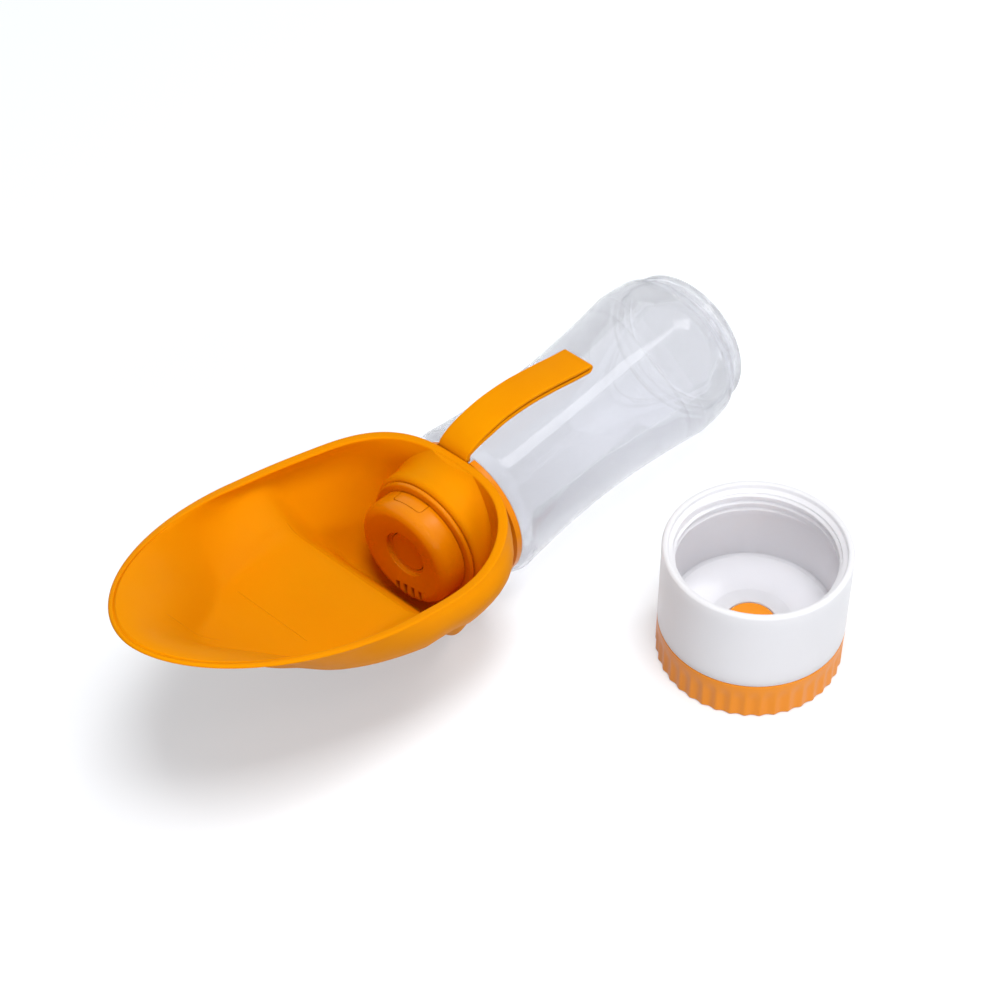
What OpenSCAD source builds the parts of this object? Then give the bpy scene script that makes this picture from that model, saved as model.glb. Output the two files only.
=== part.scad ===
// Travel water bottle for dogs: a clear bottle with a soft scoop bowl and a push
// valve at one end, a carry strap, and a food cup with a screw base beside it.
// Origin at the centre of the bottle's threaded base end. +X points out of that
// end, so the bowl lies towards -X. +Z is up, and the bottle lies on its heel.

/* [Bottle] */
// Length from the base end face to the flat of the shoulder
bottle_len = 149; // [130:1:190]
// Radius of the heel that the bottle lies on
heel_r = 38.1; // [37:0.1:44]
// Radius at the waist
waist_r = 33.1; // [28:0.1:36]
// Radius of the bulge next to the shoulder
bulge_r = 35.9; // [34:0.1:38]
// Thickness of the bottle wall
bottle_wall = 1.6; // [1.2:0.1:2.4]
// Length of the threaded spigot at the base end
spigot_len = 10; // [9:0.5:14]
// Root radius of the threaded spigot
spigot_r = 33.4; // [30:0.1:35]
// Root radius of the drinking neck
neck_r = 18.8; // [17:0.1:22]
// Length of the neck from the shoulder to its lip
neck_len = 23; // [22:0.5:30]
// Pitch of the cap's and base cap's threads
pitch = 3; // [2.6:0.1:3.4]
// Pitch of the thread between the bottle and the cup's mouth
mouth_pitch = 4; // [3.4:0.1:4.2]
// Height of a thread ridge
ridge_h = 1.2; // [1:0.1:1.4]

/* [Bowl] */
// Length of the bowl behind its widest place
bowl_back = 77; // [70:1:90]
// Length of the bowl in front of its widest place
bowl_front = 104.5; // [80:0.5:120]
// Width of the bowl over the rim
bowl_w = 112.2; // [100:0.2:130]
// Height of the lowest place of the rim over the bottle's axis
rim_low_z = 29.9; // [26:0.1:36]
// Rise of the rim towards the lip, for each unit of length
rim_rise = 0.27; // [0.2:0.005:0.32]
// Wall of the bowl, measured across the rim
rim_w = 4; // [3:0.1:5]
// Wall of the bowl at the tip of the lip
lip_w = 2; // [1.6:0.1:3]
// Radius of the sleeve that leads the neck into the bowl
sleeve_r = 30.3; // [29:0.1:34]
// Wall of the neck sleeve
sleeve_wall = 3; // [2:0.1:4]

/* [Valve cap] */
// Length of the cap in front of the retaining ring
cap_len = 12.3; // [11:0.1:16]
// Radius of the rounded front edge of the cap
cap_round = 4.5; // [3:0.1:6]
// Wall of the cap's skirt
skirt_wall = 3.5; // [2.5:0.1:5]
// Radius of the push button
button_r = 9.1; // [7:0.1:11]
// Travel of the push button
button_travel = 3.5; // [2:0.1:3.8]
// Radius of the valve stem
stem_r = 2.4; // [1.8:0.1:3]
// Radius of the rubber valve disc
disc_r = 10.5; // [10:0.1:12]
// Number of outlet slots
slot_count = 4; // [2:1:5]
// Width of an outlet slot
slot_w = 2.2; // [1.6:0.1:2.6]
// Width of the lock button over the cap
lock_w = 15.5; // [10:0.5:17]
// Turn of the lock button from the top of the cap
lock_turn = 7; // [0:1:12]
// Turn of the outlet slots from the bottom of the cap
slot_turn = 10; // [0:1:20]

/* [Strap] */
// Width of the carry strap
strap_w = 16; // [12:0.5:20]
// Thickness of one layer of the strap
strap_t = 1.9; // [1.4:0.1:2.2]
// Opening between the two layers of the strap
strap_gap = 0.8; // [0.5:0.1:1.2]
// Outer radius of the ring that carries the strap
strap_ring_r = 33; // [31:0.1:34.5]
// Thickness of the ring that carries the strap
strap_ring_t = 3; // [2:0.1:4]

/* [Food cup] */
// Height of the cup with its base cap
cup_h = 60.9; // [50:0.5:90]
// Wall of the cup outside the thread
cup_wall = 4.8; // [4.4:0.1:6]
// Height of the orange base cap
base_h = 18.8; // [16:0.1:24]
// Wall of the base cap
base_wall = 2.6; // [2.2:0.1:3.4]
// Radius of the hole in the cup's floor
dispense_r = 11; // [8:0.5:14]
// Number of grip flutes round the base cap
flute_count = 40; // [24:1:60]
// Distance of the cup's axis from the bottle's base end, towards the bowl
cup_along = 101.2; // [60:1:120]
// Distance of the cup's axis to the side of the bottle's axis
cup_aside = 120.6; // [110:1:180]

/* [Fits] */
// Running clearance between pieces that move
run_gap = 0.3; // [0.2:0.05:0.4]
// Clearance between pieces that only sit together
sit_gap = 0.1; // [0.05:0.05:0.2]
// Clearance between thread crest and thread root
thread_gap = 0.5; // [0.4:0.05:0.6]

/* [Hidden] */
$fn = 96;

// Thread ridges
ridge_base = 1.3;
ridge_crest = 0.7;
ridge_sink = 0.3;
parting_gap = 12;

// Bottle outline, as distances u from the base end face
land_len = 2;
root_r = spigot_r - 0.4;
heel_u = spigot_len + 16;
base_r = heel_r - 1.3;
bulge_u = bottle_len - 6;
waist_len = 80;
waist_u = spigot_len + waist_len;
shoulder_r = bulge_r - 6;
outline_steps = 14;
heel_power = 1.75;
corner_steps = 6;
base_floor = 2;
neck_bore_r = neck_r - 2.2;
lip_u = bottle_len + neck_len;

// Strap ring and bowl flange stack up in front of the shoulder
ring_u = bottle_len + run_gap;
ring_end_u = ring_u + strap_ring_t;
flange_u = ring_end_u + run_gap;
flange_t = 3;
skirt_u = flange_u + flange_t + run_gap;
neck_clear_r = neck_r + run_gap;

// Cap skirt over the neck thread
cap_bore_r = neck_r + ridge_h + thread_gap;
skirt_r = cap_bore_r + skirt_wall;
cap_r = skirt_r + 1;

// Sleeve web, retaining ring and visible cap
web_end_u = lip_u + 1.6;
web_t = 3;
keeper_u = web_end_u + run_gap;
keeper_t = 2.2;
keeper_r = sleeve_r - 1.9;
keeper_bore_r = skirt_r + run_gap;
cap_u = keeper_u + keeper_t + run_gap;
face_u = cap_u + cap_len;
face_r = cap_r - cap_round;
dish = 1.6;
thumb_depth = 1.3;
thumb_tilt = 32;
thumb_reach = face_r * cos(thumb_tilt) + (face_u - cap_round) * sin(thumb_tilt) + cap_round - thumb_depth;
button_u = face_u - 3.7;

// Valve insert
gasket_t = 1.0;
gasket_u = lip_u + sit_gap;
seat_u = gasket_u + gasket_t + sit_gap;
seat_t = 2.5;
seat_end_u = seat_u + seat_t;
seat_r = cap_bore_r - sit_gap;
chamber_r = cap_bore_r - 2.2;
chamber_u = seat_end_u + sit_gap;
face_t = 2.6;
chamber_end_u = button_u - face_t;
guide_r = button_r + run_gap;
guide_wall = 1.6;
guide_drop = 1.2;
port_count = 6;
port_r = 1.9;
port_at = 7.2;
vent_r = 0.8;
vent_at = 14;
vent_head_r = 2.2;
vent_head_t = 0.7;

// Button, stem and disc
button_len = button_u - seat_end_u - button_travel - 0.9;
button_wall = 2.2;
button_top = 2;
cavity_end_u = button_u - button_top;
spring_r = 5;
spring_wire_r = 0.4;
spring_turns = 5;
disc_t = 1.6;
disc_u = seat_u - sit_gap - disc_t;
clip_t = 1;
clip_r = 4.4;
clip_u = disc_u - clip_t - sit_gap;
stem_end_u = clip_u - 1;
oring_r = 0.75;

// Lock button in the top of the cap
lock_len = 5.7;
lock_corner = 1.7;
lock_u = cap_u + run_gap;
lock_t = 2.3;
lock_floor_r = cap_r - 4.6;
lock_travel = 1.5;
lock_spring_r = 1.6;
lock_spring_wire = 0.25;
lock_spring_turns = 3;
coil_steps = 18;
wire_sides = 8;

// Bowl outline, as distances from the bowl's widest place
bowl_u = flange_u + bowl_back;
rim_low_u = flange_u + 33;
rim_ease = 20;
rim_back_rise = 0.17;
back_power = 2.7;
front_power = 1.9;
back_swell = 0.2;
front_swell = 0.11;
lip_sway = 1.2;
lip_twist = 2.4;
under_start = 0.2;
under_power = 3.2;
floor_start = 0.53;
floor_power = 2;
floor_wall = 3;
sump_half_w = 65;
sump_crease = 2;
// Floor of the bowl: distance in front of the flange, height over the bottle's axis
bowl_floor = [[15, -35], [33, -31.5], [46, -13], [58, 4], [66, 13], [84, 16], [111, 19], [147, 35.5],
              [184, 63]];
// Underside of the bowl on the same stations
bowl_under = [[15, -heel_r - sump_crease / 2], [33, -34.4], [47.5, -17], [60, -7], [83, -7], [111, 0.5],
              [147, 31.5], [184, 60]];
bowl_angles = 96;
bowl_rings = [1, 0.985, 0.96, 0.925, 0.885, 0.84, 0.79, 0.74, 0.69, 0.63, 0.57, 0.5, 0.42, 0.33, 0.23,
              0.12];
flare_r = 12;
sleeve_round = 2.4;

// Carry strap: distance behind the ring's front face, sideways shift, height over
// the bottle's axis, and thickness measured in from the outer face
strap_thick = 2 * strap_t + strap_gap;
strap_route = [[0, 4.4, 31, 3], [0.4, 4.4, 34, 3], [1.7, 3.8, 36.6, 3.1], [4.3, 3.3, 39, 3.6],
               [7.8, 2.8, 41.2, 4.2], [12.8, 2.2, 43.3, strap_thick], [21, 1.6, 45.3, strap_thick],
               [30.5, 1.1, 45.9, strap_thick], [39.5, 0.8, 45.5, strap_thick],
               [48.5, 0.5, 44.3, strap_thick], [57.5, 0.3, 42.7, strap_thick],
               [66.5, 0.1, 40.9, strap_thick], [75, 0, 39.4, strap_thick]];
strap_split = 5;
anchor_len = 20;
anchor_depth = 4.5;

// Food cup, as heights over the ground
cup_thread_r = spigot_r + ridge_h + thread_gap;
cup_r = cup_thread_r + cup_wall;
mouth_r = heel_r - 1.3 + run_gap;
mouth_depth = 2.2;
thread_zone = 14.5;
cup_bore_r = cup_thread_r + 0.8;
ledge_z = base_h + 1.6;
ledge_r = cup_bore_r - 2.2;
well_r = 18;
well_z = base_h - 2.6;
cup_floor_t = 2.4;
plinth_r = cup_r - base_wall - thread_gap - ridge_h;
plinth_z = 6;
base_floor_t = 2.4;
base_thread_z = 8.5;
plug_r = dispense_r - run_gap;
plug_wall = 1.8;
flute_r = 3;
flute_depth = 0.8;
flute_top = 3.4;
gasket_w = 3;
base_gasket_t = 1.2;

// ---------- shared helpers ----------

// Turns a shape so that its own +Z runs from the base end towards the bowl
module along() { rotate([0, -90, 0]) children(); }

// Ring of rectangular section
module ring(r_out, r_in, z0, h) {
    translate([0, 0, z0]) rotate_extrude() translate([r_in, 0]) square([r_out - r_in, h]);
}

// Half turns of thread, each tilted by the lead and broken at the parting line.
// side is 1 for ridges on a shaft and -1 for ridges in a bore.
module thread(r, z0, half_turns, lead, side = 1) {
    tilt = asin(lead / 4 / r);
    for (k = [0 : half_turns - 1])
        rotate([0, 0, 180 * k])
            translate([0, 0, z0 + lead * (k + 0.5) / 2])
                rotate([0, tilt, 0])
                    rotate([0, 0, parting_gap / 2])
                        rotate_extrude(angle = 180 - parting_gap)
                            polygon([[r - side * ridge_sink, -ridge_base / 2],
                                     [r + side * ridge_h, -ridge_crest / 2],
                                     [r + side * ridge_h, ridge_crest / 2],
                                     [r - side * ridge_sink, ridge_base / 2]]);
}

// Coil spring of round wire with its ends between z0 and z1
module coil(r, wire_r, turns, z0, z1) {
    n = turns * coil_steps;
    points = [for (k = [0 : n])
        let (a = 360 * k / coil_steps, z = z0 + wire_r + (z1 - z0 - 2 * wire_r) * k / n)
        for (j = [0 : wire_sides - 1])
            let (b = 360 * j / wire_sides, q = r + wire_r * cos(b))
            [q * cos(a), q * sin(a), z + wire_r * sin(b)]];
    sides = [for (k = [0 : n - 1]) for (j = [0 : wire_sides - 1])
        let (p = k * wire_sides + j, q = k * wire_sides + (j + 1) % wire_sides)
        each [[p, q, p + wire_sides], [q, q + wire_sides, p + wire_sides]]];
    start = [for (j = [1 : wire_sides - 2]) [0, j + 1, j]];
    end = [for (j = [1 : wire_sides - 2]) [n * wire_sides, n * wire_sides + j, n * wire_sides + j + 1]];
    polyhedron(points, concat(sides, start, end));
}

// ---------- bottle ----------

// Radius of the bottle's outside at a distance u from the base end face
function body_r(u) =
    u < heel_u ? heel_r - (heel_r - base_r) * pow((heel_u - u) / (heel_u - spigot_len), 2) :
    u < waist_u ? waist_r + (heel_r - waist_r) * pow((waist_u - u) / (waist_u - heel_u), heel_power) :
    waist_r + (bulge_r - waist_r) * pow((u - waist_u) / (bulge_u - waist_u), 2);

// Points of the body wall, moved in by t
function body_side(t) =
    [for (k = [0 : 3 * outline_steps])
        let (u = spigot_len + t + (bulge_u - spigot_len - t) * k / (3 * outline_steps))
        [body_r(u) - t, u]];

// Points of the rounded shoulder, moved in by t
function shoulder_corner(t) =
    [for (k = [1 : corner_steps])
        let (a = 90 * k / corner_steps, r = bottle_len - bulge_u)
        [shoulder_r + (r - t) * cos(a), bulge_u + (r - t) * sin(a)]];

module bottle() {
    outside = concat([[0, 0], [spigot_r, 0], [spigot_r, land_len], [root_r, land_len], [root_r, spigot_len]],
                     body_side(0), shoulder_corner(0),
                     [[neck_r, bottle_len], [neck_r, lip_u], [0, lip_u]]);
    inside = concat([[0, base_floor], [spigot_r - bottle_wall, base_floor],
                     [spigot_r - bottle_wall, spigot_len + bottle_wall]],
                    body_side(bottle_wall), shoulder_corner(bottle_wall),
                    [[neck_bore_r, bottle_len - bottle_wall], [neck_bore_r, lip_u + 1], [0, lip_u + 1]]);
    color("gainsboro", 0.5) along() {
        difference() {
            rotate_extrude() polygon(outside);
            rotate_extrude() polygon(inside);
        }
        thread(root_r, 3.2, 3, mouth_pitch);
        thread(neck_r, skirt_u + 4, 4, pitch);
    }
}

// ---------- bowl ----------

function sgn_pow(v, m) = sign(v) * pow(abs(v), 2 / m);

// Height of the rim at a distance u
function rim_z(u) =
    let (d = u - rim_low_u)
    rim_low_z + (d > 0 ? rim_rise : rim_back_rise) * (sqrt(d * d + rim_ease * rim_ease) - rim_ease);

// Smooth curve through a list of [station, height]
function span_at(line, s, i = 0) = (i >= len(line) - 2 || s < line[i + 1][0]) ? i : span_at(line, s, i + 1);
function slope_at(line, i) =
    let (a = max(i - 1, 0), b = min(i + 1, len(line) - 1))
    (line[b][1] - line[a][1]) / (line[b][0] - line[a][0]);
function curve_at(line, s_any) =
    let (s = min(max(s_any, line[0][0]), line[len(line) - 1][0]),
         i = span_at(line, s),
         h = line[i + 1][0] - line[i][0],
         t = (s - line[i][0]) / h)
    (2 * t * t * t - 3 * t * t + 1) * line[i][1] + (t * t * t - 2 * t * t + t) * h * slope_at(line, i)
    + (3 * t * t - 2 * t * t * t) * line[i + 1][1] + (t * t * t - t * t) * h * slope_at(line, i + 1);

// The larger of two heights, with the crease between them eased by k
function soft_max(a, b, k) = 0.5 * (a + b + sqrt((a - b) * (a - b) + k * k));

// Place of the rim from the bowl's widest place, in the direction with cosine c and sine s
function rim_plan(c, s, inset) =
    let (reach = (c < 0 ? bowl_back : bowl_front) - inset,
         m = c < 0 ? back_power : front_power)
    [reach * sgn_pow(c, m), (bowl_w / 2 - inset) * sgn_pow(s, m)];

// Height of the rim over that place
function rim_top(c, d) = rim_z(bowl_u + d[0]) + lip_twist * max(0, c) * d[1] / bowl_w * 2;

// Share of the way up a wall that starts at a share start of the way out
function wall_share(rho, start, power) = pow(max(0, min(1, (rho - start) / (1 - start))), power);
function under_share(rho, c) =
    wall_share(rho, under_start + (c > 0 ? 0.45 * pow(c, 6) : -0.3 * c),
               under_power + (c > 0 ? -1.65 * pow(c, 0.7) : -0.85 * c));
function floor_share(rho, c) =
    wall_share(rho, floor_start + 0.18 * abs(c), floor_power + 1.4 * max(0, -c));

// Bulge of the wall under the rim, as a share of the way out
function swell(c, s, w) =
    s * s * (c < 0 ? front_swell - (back_swell - front_swell) * c : front_swell * (1 - c) * (1 - c))
    * sin(180 * min(1, (1 - w) / 0.7));

// Point of the bowl's outside in the direction a, at a share rho of the way out
function outer_point(a, rho) =
    let (c = cos(a),
         s = sin(a),
         d = rim_plan(c, s, 0),
         w = under_share(rho, c),
         out = rho + swell(c, s, w),
         y = d[1] * out,
         top = rim_top(c, d),
         sump = -(heel_r + sump_crease / 2) * (1 - y * y / (sump_half_w * sump_half_w)),
         low = min(soft_max(curve_at(bowl_under, bowl_u - flange_u + d[0] * out), sump, sump_crease),
                   top - lip_w))
    [-bowl_u - d[0] * out, y + lip_sway * pow(max(0, c), 3) * rho, low + (top - low) * w];

// Point of the bowl's inside, kept at least a wall over the outside
function inner_point(a, rho) =
    let (c = cos(a),
         s = sin(a),
         d = rim_plan(c, s, rim_w + (lip_w - rim_w) * max(0, c)),
         under = under_share(rho, c),
         out = rho + swell(c, s, under),
         top = rim_top(c, rim_plan(c, s, 0)),
         low = min(curve_at(bowl_floor, bowl_u - flange_u + d[0] * out), top - sit_gap),
         z = low + (top - low) * floor_share(rho, c))
    [-bowl_u - d[0] * out, d[1] * out + lip_sway * pow(max(0, c), 3) * rho,
     max(z, outer_point(a, rho)[2] + floor_wall * (1 - under))];

bowl_ring_n = len(bowl_rings);
function outer_ring(rho) = [for (k = [0 : bowl_angles - 1]) outer_point(360 * k / bowl_angles, rho)];
function inner_ring(rho) = [for (k = [0 : bowl_angles - 1]) inner_point(360 * k / bowl_angles, rho)];
function band(i, flip) =
    [for (k = [0 : bowl_angles - 1])
        let (a = i * bowl_angles + k,
             b = i * bowl_angles + (k + 1) % bowl_angles,
             c = a + bowl_angles,
             d = b + bowl_angles)
        each flip ? [[a, b, d], [a, d, c]] : [[a, d, b], [a, c, d]]];
function fan(i, tip, flip) =
    [for (k = [0 : bowl_angles - 1])
        let (a = i * bowl_angles + k, b = i * bowl_angles + (k + 1) % bowl_angles)
        flip ? [a, b, tip] : [b, a, tip]];

// The scoop alone: outside from rim to pole, then inside from rim to pole
module scoop() {
    outside = [for (rho = bowl_rings) each outer_ring(rho)];
    inside = [for (rho = bowl_rings) each inner_ring(rho)];
    count = bowl_ring_n * bowl_angles;
    points = concat(outside, inside, [outer_point(0, 0), inner_point(0, 0)]);
    rim = [for (k = [0 : bowl_angles - 1])
        let (a = k, b = (k + 1) % bowl_angles)
        each [[a, count + a, b], [b, count + a, count + b]]];
    faces = concat([for (i = [0 : bowl_ring_n - 2]) each band(i, false)],
                   fan(bowl_ring_n - 1, 2 * count, false),
                   [for (i = [0 : bowl_ring_n - 2]) each band(i + bowl_ring_n, true)],
                   fan(2 * bowl_ring_n - 1, 2 * count + 1, true), rim);
    polyhedron(points, faces);
}

// Everything under the rim, used to trim the sleeve
module scoop_filled() {
    outside = [for (rho = bowl_rings) each outer_ring(rho)];
    points = concat(outside, [outer_point(0, 0), [-bowl_u, 0, rim_z(bowl_u)]]);
    count = bowl_ring_n * bowl_angles;
    faces = concat([for (i = [0 : bowl_ring_n - 2]) each band(i, false)],
                   fan(bowl_ring_n - 1, count, false), fan(0, count + 1, true));
    polyhedron(points, faces);
}

// Outline of the sleeve, flared where it meets the bowl's back wall
function flare() =
    [for (k = [0 : 8])
        let (a = 80 * (1 - k / 8))
        [sleeve_r + flare_r * (1 - cos(a)), flange_u + flare_r + 2 - flare_r * sin(a)]];
function sleeve_corner() =
    [for (k = [0 : 6])
        let (a = 90 * k / 6)
        [sleeve_r + sleeve_round * (cos(a) - 1), web_end_u + sleeve_round * (sin(a) - 1)]];

module bowl() {
    sleeve_in_r = sleeve_r - sleeve_wall;
    sleeve = concat([[neck_clear_r, flange_u], [sleeve_r + flare_r, flange_u]], flare(),
                    sleeve_corner(),
                    [[keeper_bore_r, web_end_u], [keeper_bore_r, web_end_u - web_t],
                     [sleeve_in_r, web_end_u - web_t],
                     [sleeve_in_r, flange_u + flange_t], [neck_clear_r, flange_u + flange_t]]);
    color("darkorange") {
        difference() {
            scoop();
            along() translate([0, 0, flange_u - 5]) cylinder(r = sleeve_in_r + 1, h = web_end_u - flange_u + 5);
            // Room for the retaining ring
            along() translate([0, 0, web_end_u]) cylinder(r = keeper_r + run_gap, h = keeper_t + 2 * run_gap);
        }
        intersection() {
            scoop_filled();
            along() rotate_extrude() polygon(sleeve);
        }
    }
}

// ---------- strap ----------

module strap_ring() {
    color("orange") along() difference() {
        ring(strap_ring_r, neck_clear_r, ring_u, strap_ring_t);
        translate([strap_ring_r - anchor_depth, -anchor_len / 2 + strap_route[0][1], ring_u - 1])
            cube([anchor_depth + 5, anchor_len, strap_ring_t + 2]);
    }
}

function unit2(v) = v / norm(v);

// Point of the strap at route station i, at depth t under the outer face
function strap_point(i, t) =
    let (a = strap_route[max(i - 1, 0)],
         b = strap_route[min(i + 1, len(strap_route) - 1)],
         d = unit2([b[0] - a[0], b[2] - a[2]]),
         p = strap_route[i])
    [-(ring_end_u - p[0] - d[1] * t), p[1], p[2] - d[0] * t];

// Swept slab between stations i0 and i1, each with its own pair of depths
module strap_slab(i0, depths) {
    n = len(depths);
    side = [0, strap_w / 2, 0];
    points = [for (k = [0 : n - 1])
        let (top = strap_point(i0 + k, depths[k][0]), low = strap_point(i0 + k, depths[k][1]))
        each [top + side, top - side, low - side, low + side]];
    sides = [for (i = [0 : n - 2]) for (k = [0 : 3])
        let (a = 4 * i + k, b = 4 * i + (k + 1) % 4)
        each [[a, a + 4, b], [b, a + 4, b + 4]]];
    e = 4 * n;
    polyhedron(points, concat(sides, [[0, 1, 2], [0, 2, 3], [e - 1, e - 2, e - 3], [e - 1, e - 3, e - 4]]));
}

module carry_strap() {
    last = len(strap_route) - 1;
    tail = strap_route[last];
    before = strap_route[last - 1];
    slope = atan2(before[2] - tail[2], tail[0] - before[0]);
    color("orange") {
        strap_slab(0, [for (i = [0 : strap_split]) [0, strap_route[i][3]]]);
        strap_slab(strap_split - 1, [for (i = [strap_split - 1 : last]) [0, strap_t]]);
        strap_slab(strap_split - 1, [for (i = [strap_split - 1 : last]) [strap_t + strap_gap, strap_route[i][3]]]);
        // Fold that joins the two layers
        translate([tail[0] - ring_end_u, tail[1], tail[2]])
            rotate([0, slope, 0])
                translate([-sit_gap, 0, -strap_thick / 2])
                    intersection() {
                        rotate([90, 0, 0]) difference() {
                            cylinder(r = strap_thick / 2, h = strap_w, center = true);
                            cylinder(r = strap_gap / 2, h = strap_w + 1, center = true);
                        }
                        translate([0, -strap_w, -strap_w]) cube(2 * strap_w);
                    }
        // Anchor that sits in the notch of the ring
        translate([-ring_end_u, strap_route[0][1] - anchor_len / 2 + sit_gap,
                   strap_ring_r - anchor_depth + sit_gap])
            cube([strap_ring_t, anchor_len - 2 * sit_gap, anchor_depth - 1]);
    }
}

// ---------- valve cap ----------

module retaining_ring() {
    rounding = keeper_t / 2;
    color("darkorange") along() rotate_extrude() {
        translate([keeper_r - rounding, keeper_u + rounding]) circle(r = rounding);
        translate([keeper_bore_r, keeper_u]) square([keeper_r - rounding - keeper_bore_r, keeper_t]);
    }
}

// Outside of the visible part of the cap, as a solid of revolution
module cap_outside() {
    edge = [for (k = [0 : 8])
        [face_r + cap_round * cos(90 * k / 8), face_u - cap_round + cap_round * sin(90 * k / 8)]];
    difference() {
        rotate_extrude() polygon(concat([[0, cap_u], [cap_r, cap_u]], edge,
                                        [[guide_r + 1.4, face_u - dish], [guide_r + 1.4, button_u],
                                         [0, button_u]]));
        // Thumb flat in front of the lock button
        rotate([0, 0, lock_turn])
            rotate([0, 90 - thumb_tilt, 0])
                translate([-cap_r, -cap_r, thumb_reach])
                    cube(2 * cap_r);
    }
}

// Block that cuts the lock button out of the cap, with clearance c all round
module lock_block(c, from_r) {
    rotate([0, 0, lock_turn])
        translate([from_r, 0, lock_u + lock_len / 2])
            rotate([0, 90, 0])
                linear_extrude(cap_r) {
                    offset(r = lock_corner + c, $fn = 24)
                        square([lock_len - 2 * lock_corner, lock_w - 2 * lock_corner], center = true);
                    // Square corners at the back
                    translate([0, -lock_w / 2 - c]) square([lock_len / 2 + c, lock_w + 2 * c]);
                }
}

module cap_shell() {
    slot_pitch = 2 * slot_w;
    slot_reach = cap_r - chamber_r + 2.5;
    color("darkorange") along() difference() {
        union() {
            difference() {
                union() {
                    cap_outside();
                    translate([0, 0, skirt_u]) cylinder(r = skirt_r, h = cap_u - skirt_u + 1);
                }
                translate([0, 0, skirt_u - 1]) cylinder(r = cap_bore_r, h = chamber_u - skirt_u + 1);
                translate([0, 0, skirt_u]) cylinder(r = chamber_r, h = chamber_end_u - skirt_u);
            }
            // Guide that the button slides in
            translate([0, 0, chamber_end_u - guide_drop]) cylinder(r = guide_r + guide_wall, h = face_t);
            thread(cap_bore_r, skirt_u + 4 + pitch / 2, 3, pitch, -1);
        }
        translate([0, 0, skirt_u]) cylinder(r = guide_r, h = face_u - skirt_u + 1);
        lock_block(run_gap, lock_floor_r);
        for (k = [0 : slot_count - 1])
            rotate([0, 0, slot_turn])
                translate([-cap_r - 1, (k - (slot_count - 1) / 2) * slot_pitch - slot_w / 2, chamber_end_u - 3])
                    cube([slot_reach, slot_w, cap_len]);
    }
}

module valve_seat() {
    color("white") along() difference() {
        translate([0, 0, seat_u]) cylinder(r = seat_r, h = seat_t);
        translate([0, 0, seat_u - 1]) cylinder(r = stem_r + sit_gap, h = seat_t + 2);
        for (k = [0 : port_count - 1])
            rotate([0, 0, 360 * k / port_count])
                translate([port_at, 0, seat_u - 1]) cylinder(r = port_r, h = seat_t + 2);
        translate([vent_at, 0, seat_u - 1]) cylinder(r = vent_r + sit_gap, h = seat_t + 2);
    }
}

module neck_gasket() {
    color("whitesmoke") along() ring(neck_r + ridge_h, neck_bore_r, gasket_u, gasket_t);
}

module vent_valve() {
    color("silver") along() translate([vent_at, 0, 0]) {
        translate([0, 0, seat_end_u + sit_gap / 2]) cylinder(r = vent_head_r, h = vent_head_t);
        translate([0, 0, seat_u - 0.6]) cylinder(r = vent_r, h = seat_t + 1);
        translate([0, 0, seat_u - 0.9]) cylinder(r = 1.4, h = 0.8);
    }
}

module push_button() {
    start_u = button_u - button_len;
    color("darkorange") along() difference() {
        translate([0, 0, start_u]) cylinder(r = button_r, h = button_len);
        translate([0, 0, start_u - 1]) cylinder(r = button_r - button_wall, h = cavity_end_u - start_u + 1);
        translate([0, 0, start_u + 1.4]) rotate_extrude() translate([button_r, 0]) circle(r = oring_r + sit_gap);
    }
}

module button_seal() {
    start_u = button_u - button_len;
    color("dimgray") along() translate([0, 0, start_u + 1.4]) rotate_extrude() intersection() {
        translate([button_r, 0]) circle(r = oring_r);
        translate([0, -2]) square([guide_r - 0.05, 4]);
    }
}

module valve_stem() {
    color("white") along() difference() {
        translate([0, 0, stem_end_u]) cylinder(r = stem_r, h = cavity_end_u - stem_end_u);
        ring(stem_r + 1, stem_r - 0.7, clip_u - sit_gap, clip_t + 2 * sit_gap);
    }
}

module valve_disc() {
    color("dimgray") along() ring(disc_r, stem_r + sit_gap / 2, disc_u, disc_t);
}

module stem_clip() {
    color("silver") along() difference() {
        ring(clip_r, stem_r - 0.6, clip_u, clip_t);
        translate([0, -1.4, clip_u - 1]) cube([clip_r + 1, 2.8, clip_t + 2]);
    }
}

module valve_spring() {
    color("silver") along()
        coil(spring_r, spring_wire_r, spring_turns, seat_end_u + sit_gap, cavity_end_u - sit_gap);
}

module lock_button() {
    color("darkorange") along() difference() {
        intersection() {
            cap_outside();
            lock_block(0, cap_r - lock_t);
        }
        rotate([0, 0, lock_turn]) translate([0, 0, lock_u + lock_len / 2])
            rotate([0, 90, 0]) cylinder(r = lock_spring_r + 0.6, h = cap_r - 1.2);
    }
}

module lock_spring() {
    color("silver") along() rotate([0, 0, lock_turn]) translate([0, 0, lock_u + lock_len / 2])
        rotate([0, 90, 0]) coil(lock_spring_r, lock_spring_wire, lock_spring_turns,
                                lock_floor_r + sit_gap, cap_r - 1.2 - sit_gap);
}

// ---------- food cup ----------

module at_cup() { translate([-cup_along, -cup_aside, -heel_r]) children(); }

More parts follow.
